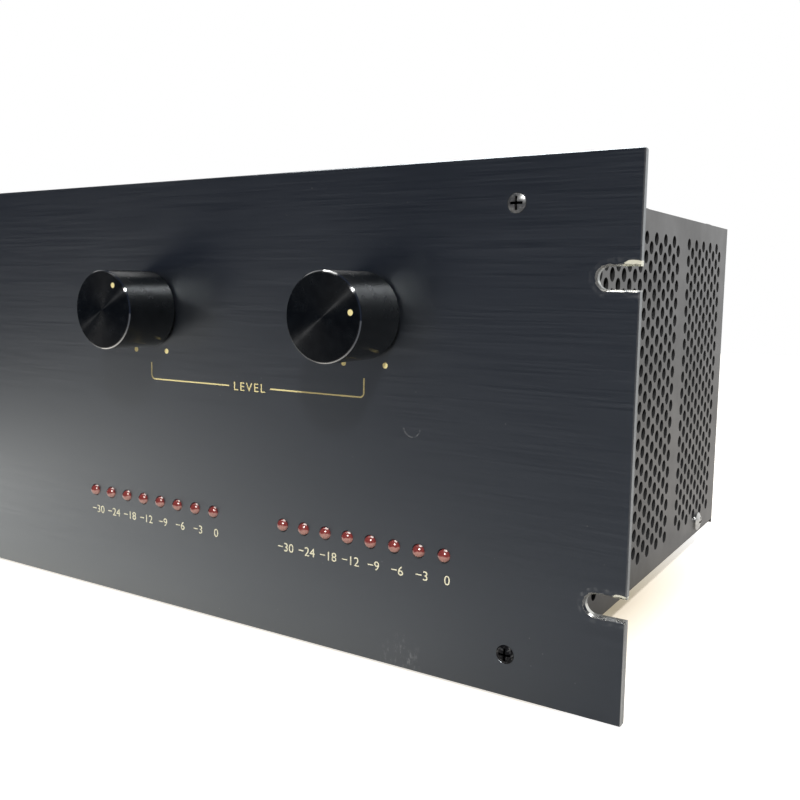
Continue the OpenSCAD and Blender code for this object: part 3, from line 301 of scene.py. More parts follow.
@dataclass(frozen=True)
class Finish:
    """A surface whose colour, gloss and relief follow a fine grain and a slow cloud.

    Attributes:
        name: Name of the material.
        colour: Main colour.
        second: Colour at the grain's other end.
        roughness: Middle roughness.
        spread: How far the roughness wanders.
        metallic: 1 for bare metal.
        specular: Strength of the gloss on what isn't metal.
        coat: Share of clear gloss on top.
        grain: Cells of the grain per metre.
        relief: Strength of the grain's bump.
        depth: Height of the grain in metres.
        grain_rough: Weight of the grain's finer octaves.
        grain_share: Share of the grain in the tone. The cloud has the rest.
        cloud: Cells of the cloud per metre.
        cloud_rough: Weight of the cloud's finer octaves.
        tone_span: Tones over which the colour goes from the main one to the second.
    """

    name: str
    colour: Colour
    second: Colour
    roughness: float
    spread: float = 0.06
    metallic: float = 0.0
    specular: float = 0.5
    coat: float = 0.0
    grain: Cells = 500.0
    relief: float = 0.1
    depth: float = 0.00004
    grain_rough: float = 0.5
    grain_share: float = 0.6
    cloud: Cells = 40.0
    cloud_rough: float = 0.6
    tone_span: Pair = (0.35, 0.65)

    def make(self) -> bpy.types.Material:
        """Builds the material.

        Returns:
            A new material with this finish.
        """
        graph = Graph(self.name)
        self.paint(graph)
        return graph.material

    def gloss(self, graph: Graph) -> None:
        """Sets the inputs that are the same all over.

        Args:
            graph: The material's nodes.
        """
        graph.set("Metallic", self.metallic)
        graph.set("Specular IOR Level", self.specular)
        graph.set("Coat Weight", self.coat)

    def grained(self, graph: Graph) -> Socket:
        """The grain."""
        return graph.noise(self.grain, OCTAVES, self.grain_rough)

    def tinted(self, graph: Graph, tone: Socket) -> Socket:
        """The two colours, mixed by a tone."""
        return graph.blend(graph.remap(tone, *self.tone_span), self.colour, self.second)

    def shine(self, graph: Graph, value: Socket) -> Socket:
        """Roughness that wanders with a noise."""
        return graph.remap(value, *NOISE_SPAN, self.roughness - self.spread, self.roughness + self.spread)

    def paint(self, graph: Graph) -> None:
        """Lays colour, roughness and relief on the shader.

        Args:
            graph: The material's nodes.
        """
        self.gloss(graph)
        grain = self.grained(graph)
        cloud = graph.noise(self.cloud, OCTAVES, self.cloud_rough)
        colour = self.tinted(graph, graph.weigh(grain, cloud, self.grain_share))
        self.lay(graph, colour, self.shine(graph, cloud))
        graph.set("Normal", graph.bump(grain, self.relief, self.depth))

    def lay(self, graph: Graph, colour: Socket, shine: Socket) -> None:
        """Puts colour and roughness on the shader."""
        graph.set("Base Color", colour)
        graph.set("Roughness", shine)


@dataclass(frozen=True)
class PunchedPaint(Finish):
    """Satin paint on the outer face of a punched sheet; the walls of its holes, the same black paint, are
    painted darker and duller as painted shade in the holes.
    """

    face_x: float = 0.2100
    skin: float = 0.0001
    # Painted shade in the holes: the walls' colour is darker than the paint.
    wall: Colour = (0.003, 0.003, 0.003)
    dull: float = 0.95

    def lay(self, graph: Graph, colour: Socket, shine: Socket) -> None:
        """Keeps the paint to the outer face, and paints the hole walls darker as painted shade.

        Args:
            graph: The material's nodes.
            colour: The paint's colour.
            shine: The paint's roughness.
        """
        span = (self.face_x - self.skin, self.face_x - 2.0 * self.skin)
        inside = graph.remap(graph.size(graph.axes()[0]), *span)
        rough = graph.most(shine, graph.times(inside, self.dull))
        super().lay(graph, graph.blend(inside, colour, self.wall), rough)


@dataclass(frozen=True)
class BrushedPanel(Finish):
    """Black anodised plate with a level brush, bare slot rims, pale ends with a painted reflection of the
    floor's light at their foot, specks, scuffs and a scratch.
    """

    stretch: float = 0.7
    ior: float = 3.2
    gloss_tint: Colour = (0.90, 0.96, 1.0)
    bare: Colour = (0.66, 0.65, 0.60)
    bare_polish: float = 0.14
    worn: Colour = (0.22, 0.22, 0.22)
    worn_share: float = 0.6
    cream: Colour = (0.86, 0.84, 0.68)
    end: Colour = (0.05, 0.05, 0.05)
    # Painted reflection of the floor's light: the end faces turn paler towards the foot.
    end_floor_light: Colour = (0.42, 0.42, 0.40)
    end_insets: Pair = (0.0005, 0.0003)
    floor_light_span: Pair = (0.015, 0.05)
    half_w: float = 0.2413
    slot_x: float = 0.2315
    slot_rise: float = 0.0508
    slot_r: float = 0.0035
    rim: float = 0.0006
    rim_soft: float = 0.0001
    rim_ragged: float = 0.0002
    rim_grain: float = 700.0
    rim_gap_grain: float = 260.0
    rim_gaps: Pair = (0.40, 0.50)
    rim_gap_share: float = 0.25
    chips: tuple[Triple, ...] = ((0.2394, 0.1443, 0.0036), (0.2392, 0.0427, 0.0025))
    chip_flat: float = 2.6
    chip_soft: float = 0.0003
    chip_ragged: float = 0.0005
    chip_grain: float = 520.0
    scuff: Pair = (0.1600, 0.0050)
    scuff_reach: Pair = (0.004, 0.010)
    scuff_grain: Triple = (900.0, 60.0, 420.0)
    scuff_rough: float = 0.7
    scuff_span: Pair = (0.56, 0.66)
    scratch: Pair = (0.1636, 0.0887)
    scratch_r: float = 0.0033
    scratch_w: Pair = (0.0001, 0.0003)
    scratch_drop: float = 0.0003
    scratch_grain: float = 800.0
    scratch_gaps: Pair = (0.4, 0.6)
    speck_grain: float = 160.0
    speck_r: Pair = (0.025, 0.05)
    speck_cloud: float = 25.0
    speck_span: Pair = (0.48, 0.56)
    rub_r: float = 0.0018
    rub_w: float = 0.0009
    rub_share: float = 0.35
    rub_grain: float = 500.0
    rub_span: Pair = (0.45, 0.65)
    # A small black spot painted near the left edge.
    dark_spot: Pair = (-0.0573, 0.1250)
    dark_spot_r: Pair = (0.0006, 0.0011)

    def slot_side(self, graph: Graph) -> Socket:
        """Height over the middle line of the nearest rack slot, away from the panel's middle."""
        rise = graph.minus(graph.axes()[2], PANEL_MID_Z)
        return graph.minus(graph.size(rise), self.slot_rise)

    def slot_distance(self, graph: Graph) -> Socket:
        """Distance outside the wall of the nearest rack slot, below 0 inside the slot."""
        inward = graph.most(graph.minus(self.slot_x, graph.size(graph.axes()[0])), 0.0)
        return graph.minus(graph.hypot(inward, self.slot_side(graph)), self.slot_r)

    def bare_metal(self, graph: Graph, wall: Socket) -> Socket:
        """Broken bright rims round the slots.

        Args:
            graph: The material's nodes.
            wall: Distance outside the slots' walls.

        Returns:
            A mask between 0 and 1.
        """
        edge = graph.plus(wall, graph.ragged(self.rim_grain, self.rim_ragged, OCTAVES))
        broken = graph.remap(graph.noise(self.rim_gap_grain), *self.rim_gaps, self.rim_gap_share, 1.0)
        return graph.times(graph.fall(edge, self.rim - self.rim_soft, self.rim + self.rim_soft), broken)

    def chipped(self, graph: Graph) -> Socket:
        """Cream chips over the open ends of the right slots.

        Args:
            graph: The material's nodes.

        Returns:
            A mask between 0 and 1.
        """
        x, _, z = graph.axes()
        ragged = graph.ragged(self.chip_grain, self.chip_ragged)
        mask: Value = 0.0
        for across, rise, reach in self.chips:
            flat = graph.times(graph.minus(z, rise), self.chip_flat)
            away = graph.plus(graph.hypot(graph.minus(x, across), flat), ragged)
            mask = graph.most(mask, graph.fall(away, reach - self.chip_soft, reach))
        return mask

    def scuffs(self, graph: Graph) -> Socket:
        """A mask of pale rubs low on the panel, right of its middle."""
        marks = graph.remap(graph.noise(self.scuff_grain, OCTAVES, self.scuff_rough), *self.scuff_span)
        return graph.times(graph.fall(graph.away(*self.scuff), *self.scuff_reach), marks)

    def scratches(self, graph: Graph) -> Socket:
        """A curved scratch under the right knob.

        Args:
            graph: The material's nodes.

        Returns:
            A mask between 0 and 1.
        """
        reach = graph.minus(graph.away(*self.scratch), self.scratch_r)
        line = graph.fall(graph.size(reach), *self.scratch_w)
        lower = graph.math("LESS_THAN", graph.axes()[2], self.scratch[1] - self.scratch_drop)
        broken = graph.remap(graph.noise(self.scratch_grain), *self.scratch_gaps)
        return graph.times(graph.times(line, lower), broken)

    def specks(self, graph: Graph) -> Socket:
        """A mask of scattered dust and tiny chips."""
        dots = graph.fall(graph.scatter(self.speck_grain), *self.speck_r)
        return graph.times(dots, graph.remap(graph.noise(self.speck_cloud), *self.speck_span))

    def rubs(self, graph: Graph, wall: Socket) -> Socket:
        """A mask of faint rings that washers left round the slots, by the distance from their walls."""
        ring = graph.remap(graph.size(graph.minus(wall, self.rub_r)), 0.0, self.rub_w, self.rub_share, 0.0)
        return graph.times(ring, graph.remap(graph.noise(self.rub_grain, OCTAVES), *self.rub_span))

    def paint(self, graph: Graph) -> None:
        """Lays the brush first, then wear and bare metal over it.

        Args:
            graph: The material's nodes.
        """
        self.gloss(graph)
        graph.set("Anisotropic", self.stretch)
        graph.set("Anisotropic Rotation", QUARTER_TURN)
        graph.set("IOR", self.ior)
        graph.set("Specular Tint", self.gloss_tint)
        brush = self.grained(graph)
        colour = self.tinted(graph, graph.weigh(brush, graph.noise(self.cloud), self.grain_share))
        flaws = graph.most(self.scuffs(graph), self.specks(graph))
        flaws = graph.most(flaws, self.scratches(graph))
        colour = graph.blend(graph.times(flaws, self.worn_share), colour, self.worn)
        colour = graph.blend(graph.fall(graph.away(*self.dark_spot), *self.dark_spot_r), colour, BLACK)
        x, _, z = graph.axes()
        # End faces, painted paler towards the foot as a painted reflection of the floor's light.
        at_end = graph.remap(graph.size(x), *(self.half_w - inset for inset in self.end_insets))
        end = graph.blend(graph.fall(z, *self.floor_light_span), self.end, self.end_floor_light)
        colour = graph.blend(at_end, colour, end)
        wall = self.slot_distance(graph)
        colour = graph.blend(self.rubs(graph, wall), colour, self.worn)
        metal = self.bare_metal(graph, wall)
        colour = graph.blend(metal, colour, self.bare)
        graph.set("Base Color", graph.blend(self.chipped(graph), colour, self.cream))
        graph.set("Metallic", metal)
        polish = graph.times(metal, self.bare_polish)
        graph.set("Roughness", graph.minus(self.shine(graph, brush), polish))
        graph.set("Normal", graph.bump(brush, self.relief, self.depth))


@dataclass(frozen=True)
class SpunKnob(Finish):
    """Gloss black metal turned on a lathe, with a bright cut edge, so that its face throws a fan of light."""

    axis_x: float = 0.0
    radius: float = 0.0155
    bevel: float = 0.0007
    edge_in: float = 0.6
    edge_back: float = 0.95
    edge_polish: float = 0.14
    shoulder: float = 0.004
    under_polish: float = 0.12
    bright: Colour = (0.62, 0.62, 0.60)
    ring_pitch: float = 0.00032
    stretch: float = 0.99
    ior: float = 1.55

    def cut_edge(self, graph: Graph) -> Socket:
        """The bevel round the face.

        Args:
            graph: The material's nodes.

        Returns:
            1 on the bevel and 0 elsewhere.
        """
        reach = graph.away(self.axis_x, KNOB_Z)
        outside = graph.math("GREATER_THAN", reach, self.radius - self.edge_in * self.bevel)
        ahead = graph.math("LESS_THAN", graph.axes()[1], KNOB_FACE_Y + self.edge_back * self.bevel)
        return graph.times(outside, ahead)

    def under_side(self, graph: Graph) -> Socket:
        """The lower part of the barrel.

        Args:
            graph: The material's nodes.

        Returns:
            1 well under the axis and 0 above it and on the face.
        """
        _, y, z = graph.axes()
        barrel = graph.math("GREATER_THAN", y, KNOB_FACE_Y + self.bevel)
        return graph.times(barrel, graph.remap(z, KNOB_Z, KNOB_Z - self.shoulder))

    def paint(self, graph: Graph) -> None:
        """Lays turned rings, a gloss that is drawn out round the axis, and the cut edge.

        Args:
            graph: The material's nodes.
        """
        self.gloss(graph)
        wander = self.grained(graph)
        edge = self.cut_edge(graph)
        graph.set("Base Color", graph.blend(edge, self.tinted(graph, wander), self.bright))
        graph.set("Metallic", edge)
        graph.set("IOR", self.ior)
        graph.set("Anisotropic", self.stretch)
        graph.set("Anisotropic Rotation", QUARTER_TURN)
        tangent = graph.add("ShaderNodeTangent", direction_type="RADIAL", axis="Y")
        graph.set("Tangent", tangent.outputs["Tangent"])
        under = graph.times(self.under_side(graph), self.under_polish)
        polish = graph.most(graph.times(edge, self.edge_polish), under)
        graph.set("Roughness", graph.minus(self.shine(graph, wander), polish))
        rings = graph.rings((self.axis_x, 0.0, KNOB_Z), self.ring_pitch)
        graph.set("Normal", graph.bump(rings, self.relief, self.depth))


@dataclass(frozen=True)
class LampLens(Finish):
    """Tinted resin dome with painted light: dark above, paler below as painted floor light through its cup,
    with two painted glints and a black rim of painted shade.
    """

    lens_x: float = 0.0
    centre_z: float = LAMP_Z
    pitch: float = LAMP_PITCH
    # Way towards the front right by which the painted glints, floor light and shaded rim are placed.
    toward: Triple = (0.49, -0.82, 0.29)
    radius: float = 0.0025
    sunk: float = 0.0005
    clear: float = 0.15
    # Painted floor light: the lower part of the dome is paler.
    floor_lit_span: Pair = (-0.24, -0.08)
    floor_lit_ragged: float = 0.12
    # Painted highlights: a glint patch high on the dome and a small glint near its middle.
    glint: Colour = (1.0, 0.82, 0.74)
    highlight_at: Pair = (0.20, 0.70)
    highlight_span: Pair = (0.955, 0.985)
    centre_glint_at: Pair = (0.05, 0.22)
    centre_glint_span: Pair = (0.984, 0.993)
    # Painted shade: a dark rim round the dome's edge as seen from the front right.
    shade: Colour = (0.030, 0.008, 0.008)
    shaded_rim_span: Pair = (0.36, 0.52)

    def spot(self, right: float, up: float) -> Vector:
        """Way from the dome's middle to a spot on it, as seen from the front right.

        Args:
            right: Place of the spot across the dome, 1 at its edge.
            up: Place of the spot up the dome, 1 at its edge.

        Returns:
            The way, of length 1.
        """
        view = Vector(self.toward).normalized()
        side = Vector((-view.y, view.x, 0.0)).normalized()
        ahead = (1.0 - right * right - up * up) ** 0.5
        return right * side + up * view.cross(side) + ahead * view

    def facing(self, graph: Graph, right: float, up: float) -> Socket:
        """How squarely the nearest dome looks the way of a spot.

        Args:
            graph: The material's nodes.
            right: Place of the spot across the dome.
            up: Place of the spot up the dome.

        Returns:
            1 where the dome looks straight that way.
        """
        x, y, z = graph.axes()
        half = self.pitch / 2
        across = graph.math("WRAP", graph.minus(x, self.lens_x), half, -half)
        parts = (across, graph.minus(y, PANEL_Y + self.sunk), graph.minus(z, self.centre_z))
        total: Value = 0.0
        for part, share in zip(parts, self.spot(right, up)):
            total = graph.math("MULTIPLY_ADD", part, share / self.radius, total)
        return total

    def paint(self, graph: Graph) -> None:
        """Lays the tint from the dome's top to its foot, paler below as painted floor light, then the painted
        glints and the dark rim of painted shade.

        Args:
            graph: The material's nodes.
        """
        self.gloss(graph)
        height = graph.plus(self.facing(graph, 0.0, 1.0), graph.ragged(self.grain, self.floor_lit_ragged))
        tint = graph.blend(graph.fall(height, *self.floor_lit_span), self.colour, self.second)
        highlight = graph.remap(self.facing(graph, *self.highlight_at), *self.highlight_span)
        centre_glint = graph.remap(self.facing(graph, *self.centre_glint_at), *self.centre_glint_span)
        tint = graph.blend(graph.most(highlight, centre_glint), tint, self.glint)
        rim = graph.fall(self.facing(graph, 0.0, 0.0), *self.shaded_rim_span)
        graph.set("Base Color", graph.blend(rim, tint, self.shade))
        graph.set("Roughness", self.roughness)
        graph.set("Transmission Weight", self.clear)


@dataclass(frozen=True)
class PanelScrew(Finish):
    """Blackened screw heads, one of them rubbed bright by the driver, with painted shade on their deepest
    parts.
    """

    bright: Colour = (0.62, 0.62, 0.60)
    rubbed_share: float = 0.5
    wear_span: Pair = (0.5, 0.75)
    wear_share: float = 0.5
    # Painted shade: parts from just before the panel's face inwards turn black.
    shaded_recess: Pair = (-0.00015, 0.0001)

    def paint(self, graph: Graph) -> None:
        """Lays the black, thin wear, the bright head at the upper right, and painted shade on the deepest
        parts.

        Args:
            graph: The material's nodes.
        """
        self.gloss(graph)
        grain = self.grained(graph)
        x, y, z = graph.axes()
        upper = graph.math("GREATER_THAN", z, PANEL_MID_Z)
        rubbed = graph.times(upper, graph.math("GREATER_THAN", x, 0.0))
        thin = graph.remap(grain, *self.wear_span, 0.0, self.wear_share)
        wear = graph.math("MINIMUM", graph.plus(graph.times(rubbed, self.rubbed_share), thin), 1.0)
        recess_shade = graph.remap(y, *(PANEL_Y + depth for depth in self.shaded_recess))
        graph.set("Base Color", graph.blend(recess_shade, graph.blend(wear, self.colour, self.bright), BLACK))
        graph.set("Roughness", graph.remap(grain, *NOISE_SPAN, self.roughness - self.spread, self.roughness))
        graph.set("Normal", graph.bump(grain, self.relief, self.depth))


PANEL = BrushedPanel(
    "panel_black", (0.003, 0.004, 0.006), (0.012, 0.014, 0.019), 0.36, 0.05,
    grain=(22.0, 200.0, 2000.0), relief=0.3, depth=0.00005,
    grain_rough=0.65, grain_share=0.75, cloud=(9.0, 9.0, 14.0), tone_span=(0.36, 0.64),
)
KNOB_LEFT = SpunKnob(
    "knob_left_black", (0.002, 0.0025, 0.003), (0.004, 0.005, 0.006), 0.26, 0.02,
    grain=300.0, relief=0.05, depth=0.000006, axis_x=Channel.LEFT.x,
)
KNOB_RIGHT = replace(KNOB_LEFT, name="knob_right_black", axis_x=Channel.RIGHT.x)
CASE_PAINT = Finish(
    "case_black", (0.012, 0.012, 0.012), (0.020, 0.020, 0.019), 0.36, 0.05,
    specular=0.9, grain=900.0, depth=0.00002,
)
SIDE_PAINT = PunchedPaint(**{**vars(CASE_PAINT), "name": "side_black"})
# Lens tints: dark red above, paler pink below as painted floor light.
LAMPS_RIGHT = LampLens(
    "lamp_red_right", (0.27, 0.050, 0.045), (0.52, 0.26, 0.22), 0.12, coat=1.0, lens_x=0.10584,
)
LAMPS_LEFT = replace(LAMPS_RIGHT, name="lamp_red_left", lens_x=-0.00156, toward=(0.72, -0.66, 0.23))
PILOT = replace(LAMPS_RIGHT, name="pilot_red", lens_x=-0.156, centre_z=PILOT_Z, pitch=0.1)
SCREW_BLACK = PanelScrew(
    "screw_black", (0.030, 0.030, 0.032), (0.05, 0.05, 0.05), 0.36, 0.1,
    metallic=0.85, grain=900.0, grain_rough=0.65,
)
CASE_SCREW = Finish("case_screw", (0.030, 0.030, 0.032), (0.06, 0.06, 0.06), 0.36, 0.08, 0.8, grain=900.0)
ZINC = Finish("zinc", (0.70, 0.70, 0.68), (0.55, 0.55, 0.53), 0.24, 0.08, 1.0, grain=700.0)
STEEL = Finish("steel", (0.52, 0.52, 0.50), (0.40, 0.40, 0.39), 0.34, 0.08, 1.0, grain=(300.0, 900.0, 300.0))
BRASS = Finish("brass", (0.66, 0.46, 0.16), (0.52, 0.34, 0.10), 0.26, 0.07, 1.0, grain=(500.0, 900.0, 500.0))
RUBBER = Finish("rubber_black", (0.014, 0.014, 0.014), (0.024, 0.024, 0.024), 0.78, specular=0.3, relief=0.3)
PLASTIC = Finish("plastic_black", (0.016, 0.016, 0.017), (0.024, 0.024, 0.025), 0.44, relief=0.2)
PLASTIC_RED = Finish("plastic_red", (0.36, 0.014, 0.012), (0.28, 0.010, 0.010), 0.40, relief=0.2)
BOARD = Finish("board_green", (0.020, 0.110, 0.040), (0.030, 0.150, 0.060), 0.40, grain=120.0)
SINK = Finish(
    "sink_black", (0.040, 0.040, 0.043), (0.060, 0.060, 0.063), 0.42,
    metallic=0.5, grain=(900.0, 900.0, 30.0),
)
TAPE = Finish(
    "tape_amber", (0.34, 0.24, 0.08), (0.22, 0.15, 0.05), 0.36, 0.08,
    grain=(60.0, 60.0, 300.0), relief=0.3,
)
SLEEVE = Finish("sleeve_blue", (0.016, 0.026, 0.110), (0.024, 0.036, 0.140), 0.28, 0.05, grain=80.0)
TUBE = Finish("fuse_tube", (0.70, 0.74, 0.72), (0.60, 0.64, 0.62), 0.12, 0.03, grain=200.0)
PRINT = Finish("print_gold", (0.90, 0.80, 0.40), (0.80, 0.70, 0.33), 0.46, grain=1600.0, relief=0.2)
FIGURES = replace(PRINT, name="print_pale", colour=(0.94, 0.91, 0.68), second=(0.86, 0.82, 0.58))


@cache
def material_of(finish: Finish) -> bpy.types.Material:
    """The finish's one material, built when it is first asked for."""
    return finish.make()


def clear_selection() -> None:
    """Leaves edit mode and deselects everything."""
    if bpy.context.object and bpy.context.object.mode != "OBJECT":
        bpy.ops.object.mode_set(mode="OBJECT")
    bpy.ops.object.select_all(action="DESELECT")


def pick(piece: Piece, *others: Piece) -> None:
    """Selects pieces alone, with the first one active.

    Args:
        piece: The piece that operators act on.
        *others: Further pieces to select.
    """
    clear_selection()
    for each in (piece, *others):
        each.select_set(True)
    bpy.context.view_layer.objects.active = piece


def select_edges(piece: Piece, axis: int, value: float) -> None:
    """Selects the edges whose ends both lie at a place, in edit mode.

    Args:
        piece: The piece in edit mode.
        axis: 0, 1 or 2 for X, Y or Z.
        value: The place along that axis.
    """
    mesh = bmesh.from_edit_mesh(piece.data)
    for face in mesh.faces:
        face.select = False
    for edge in mesh.edges:
        edge.select = all(abs(v.co[axis] - value) < SAME_PLACE for v in edge.verts)
    mesh.select_flush_mode()
    bmesh.update_edit_mesh(piece.data)


def face_outwards(merge: float = 0.0) -> None:
    """Points the faces of the piece in edit mode outwards, and leaves edit mode.

    Args:
        merge: Distance at which corners are first merged, or 0 to merge none.
    """
    bpy.ops.mesh.select_all(action="SELECT")
    if merge:
        bpy.ops.mesh.remove_doubles(threshold=merge)
    bpy.ops.mesh.normals_make_consistent(inside=False)
    bpy.ops.object.mode_set(mode="OBJECT")


def join(pieces: Sequence[Piece], name: str) -> Piece:
    """Joins pieces into the first one.

    Args:
        pieces: The pieces.
        name: Name of the result.

    Returns:
        The joined piece.
    """
    pick(*pieces)
    if len(pieces) > 1:
        bpy.ops.object.join()
    pieces[0].name = pieces[0].data.name = name
    return pieces[0]


def lettering(text: str, centre: Triple, height: float, width: float = 0.0, spread: float = 1.0) -> Piece:
    """Upright lettering that faces the front.

    Args:
        text: The figures or word.
        centre: Middle of the lettering, on the panel's face.
        height: Height of the letters.
        width: Width of the whole, or 0 to keep the letters' own width.
        spread: Spacing of the letters against the font's own.

    Returns:
        The lettering as a mesh.
    """
    clear_selection()
    bpy.ops.object.text_add(location=(0.0, 0.0, 0.0))
    font = bpy.context.object.data
    font.body = text
    font.resolution_u = LETTER_STEPS
    font.extrude = LETTER_EXTRUDE
    font.space_character = spread
    bpy.ops.object.convert(target="MESH")
    piece = bpy.context.object
    low = Vector([min(v.co[i] for v in piece.data.vertices) for i in range(3)])
    high = Vector([max(v.co[i] for v in piece.data.vertices) for i in range(3)])
    size = high - low
    grow_y = height / size.y
    grow_x = width / size.x if width else LETTER_STRETCH * grow_y
    grow = Matrix.Diagonal((grow_x, grow_y, PRINT_T / size.z, 1.0))
    turn = Matrix.Rotation(math.pi / 2, 4, "X")
    move = Matrix.Translation(Vector(centre))
    piece.data.transform(move @ turn @ grow @ Matrix.Translation(-(low + high) / 2))
    pick(piece)
    bpy.ops.object.mode_set(mode="EDIT")
    face_outwards(LETTER_MERGE)
    return piece


def paint_dot(centre: Triple, diameter: float, thick: float) -> Piece:
    """A round drop of paint that faces the front, slightly crowned.

    Args:
        centre: Middle of its back.
        diameter: Diameter.
        thick: Height over its back.

    Returns:
        The dot.
    """
    clear_selection()
    bpy.ops.mesh.primitive_circle_add(
        vertices=DOT_SIDES, radius=diameter / 2, fill_type="NGON", location=centre, rotation=UPRIGHT
    )
    piece = bpy.context.object
    bpy.ops.object.transform_apply(location=True, rotation=True, scale=True)
    bpy.ops.object.mode_set(mode="EDIT")
    bpy.ops.mesh.select_all(action="SELECT")
    wall = (DOT_CROWN - 1.0) * thick
    bpy.ops.mesh.extrude_region_move(TRANSFORM_OT_translate={"value": (0.0, wall, 0.0)})
    bpy.ops.mesh.inset(thickness=diameter * DOT_INSET, depth=0.0)
    bpy.ops.transform.translate(value=(0.0, -DOT_CROWN * thick, 0.0))
    face_outwards()
    bpy.ops.object.shade_smooth_by_angle(angle=math.radians(DOT_SMOOTH_DEG))
    return piece


def coat_piece(piece: Piece, finish: Finish, body: Body) -> None:
    """Gives a new piece its finish, body and material slot.

    Args:
        piece: The piece.
        finish: Its finish.
        body: The body it rides on.
    """
    piece.data.materials.clear()
    piece.data.materials.append(material_of(finish))
    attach(piece, body.value)
    LOG.info("built %s on %s", piece.name, body.value)


Finishes = ClassVar[dict[str, Finish]]


@dataclass
class SubAssembly:
    """A group of solids and the finish of each."""

    nodes: Finishes = {}

    def build(self) -> None:
        """Models the pieces that the solids lack."""

    def dress(self, frame: dict[str, Any]) -> None:
        """Puts the finishes on the solids.

        Args:
            frame: The loaded frame.
        """
        for name, finish in self.nodes.items():
            solid = frame["nodes"][name]
            solid.data.materials.clear()
            solid.data.materials.append(material_of(finish))
            LOG.info("dressed %s with %s", name, finish.name)


@dataclass
class FrontPanel(SubAssembly):
    """The brushed front panel, its screws, and the bracket and dots that are printed round the knobs."""

    nodes: Finishes = {"front_panel": PANEL, "panel_screws": SCREW_BLACK}
    line_w: float = 0.00055
    leg_top: float = 0.1046
    line_z: float = 0.0977
    corner_r: float = 0.0018
    corner_steps: int = 8
    word_gap: float = 0.0105
    word_w: float = 0.0158
    word_h: float = 0.0033
    word_spread: float = 1.25
    dot_d: float = 0.0021
    dot_t: float = 0.00006
    dot_r: float = 0.01937
    dot_deg: float = 27.4

    @property
    def middle_x(self) -> float:
        """Halfway between the two knobs."""
        return (Channel.LEFT.x + Channel.RIGHT.x) / 2

    def half_bracket(self) -> Piece:
        """The left leg, its round corner and the line up to the word.

        Returns:
            The flat strip, given its thickness.
        """
        x, r = Channel.LEFT.x, self.corner_r
        foot = self.line_z + r
        clear_selection()
        bpy.ops.mesh.primitive_plane_add(size=1.0, location=(0.0, 0.0, 0.0), rotation=UPRIGHT)
        piece = bpy.context.object
        piece.scale = (self.line_w, self.leg_top - foot, 1.0)
        piece.location = (x, PANEL_Y, (self.leg_top + foot) / 2)
        bpy.ops.object.transform_apply(location=True, rotation=True, scale=True)
        bpy.ops.object.mode_set(mode="EDIT")
        bpy.context.tool_settings.mesh_select_mode = (False, True, False)
        select_edges(piece, 2, foot)
        bpy.ops.mesh.spin(
            steps=self.corner_steps, angle=math.pi / 2, center=(x + r, PANEL_Y, foot), axis=(0.0, 1.0, 0.0),
            use_normal_flip=False,
        )
        select_edges(piece, 0, x + r)
        run = self.middle_x - self.word_gap - x - r
        bpy.ops.mesh.extrude_region_move(TRANSFORM_OT_translate={"value": (run, 0.0, 0.0)})
        face_outwards(SAME_PLACE)
        solid = piece.modifiers.new("thickness", "SOLIDIFY")
        solid.thickness = PRINT_T
        solid.offset = 0.0
        bpy.ops.object.modifier_apply(modifier=solid.name)
        return piece

    def mirrored(self, piece: Piece) -> Piece:
        """A mirror image of a piece about the middle of the two knobs.

        Args:
            piece: The left-hand piece.

        Returns:
            The right-hand piece.
        """
        pick(piece)
        bpy.ops.object.duplicate()
        twin = bpy.context.object
        shift = Matrix.Translation((2 * self.middle_x, 0.0, 0.0))
        twin.data.transform(shift @ Matrix.Scale(-1.0, 4, (1.0, 0.0, 0.0)))
        bpy.ops.object.mode_set(mode="EDIT")
        face_outwards()
        return twin

    def end_dots(self) -> list[Piece]:
        """The dots that mark both ends of each knob's turn.

        Returns:
            The four dots.
        """
        swing = math.radians(self.dot_deg)
        aside = self.dot_r * math.sin(swing)
        z = KNOB_Z - self.dot_r * math.cos(swing)
        return [
            paint_dot((each.x + side * aside, PANEL_Y, z), self.dot_d, self.dot_t)
            for each in Channel
            for side in (-1, 1)
        ]

    def build(self) -> None:
        """Prints the bracket with its word, and the dots round the knobs."""
        left = self.half_bracket()
        bracket = join([left, self.mirrored(left)], "level_bracket")
        coat_piece(bracket, PRINT, Body.CHASSIS)
        place = (self.middle_x, PANEL_Y, self.line_z)
        word = lettering("LEVEL", place, self.word_h, self.word_w, self.word_spread)
        coat_piece(join([word], "level_word"), PRINT, Body.CHASSIS)
        coat_piece(join(self.end_dots(), "turn_end_dots"), PRINT, Body.CHASSIS)


@dataclass
class LevelControls(SubAssembly):
    """The turned knobs with their painted pointers, and the controls behind them."""

    nodes: Finishes = {
        "level_knob_left": KNOB_LEFT,
        "level_knob_right": KNOB_RIGHT,
        "grub_screw_left": CASE_SCREW,
        "grub_screw_right": CASE_SCREW,
        "pot_shaft_left": STEEL,
        "pot_shaft_right": STEEL,
        "level_pot_left": STEEL,
        "level_pot_right": STEEL,
        "pot_nuts": STEEL,
    }
    dimple: float = 0.0003
    dimple_fill: float = 0.8
    pointer_r: float = 0.0115
    pointer_d: float = 0.00216

    def build(self) -> None:
        """Fills the dimple in each knob with paint."""
        for each in Channel:
            x = each.x + self.pointer_r * math.sin(each.points)
            z = KNOB_Z + self.pointer_r * math.cos(each.points)
            foot = (x, KNOB_FACE_Y + self.dimple, z)
            dot = paint_dot(foot, self.pointer_d, self.dimple * self.dimple_fill)
            coat_piece(join([dot], f"pointer_{each.name.lower()}"), PRINT, each.body)


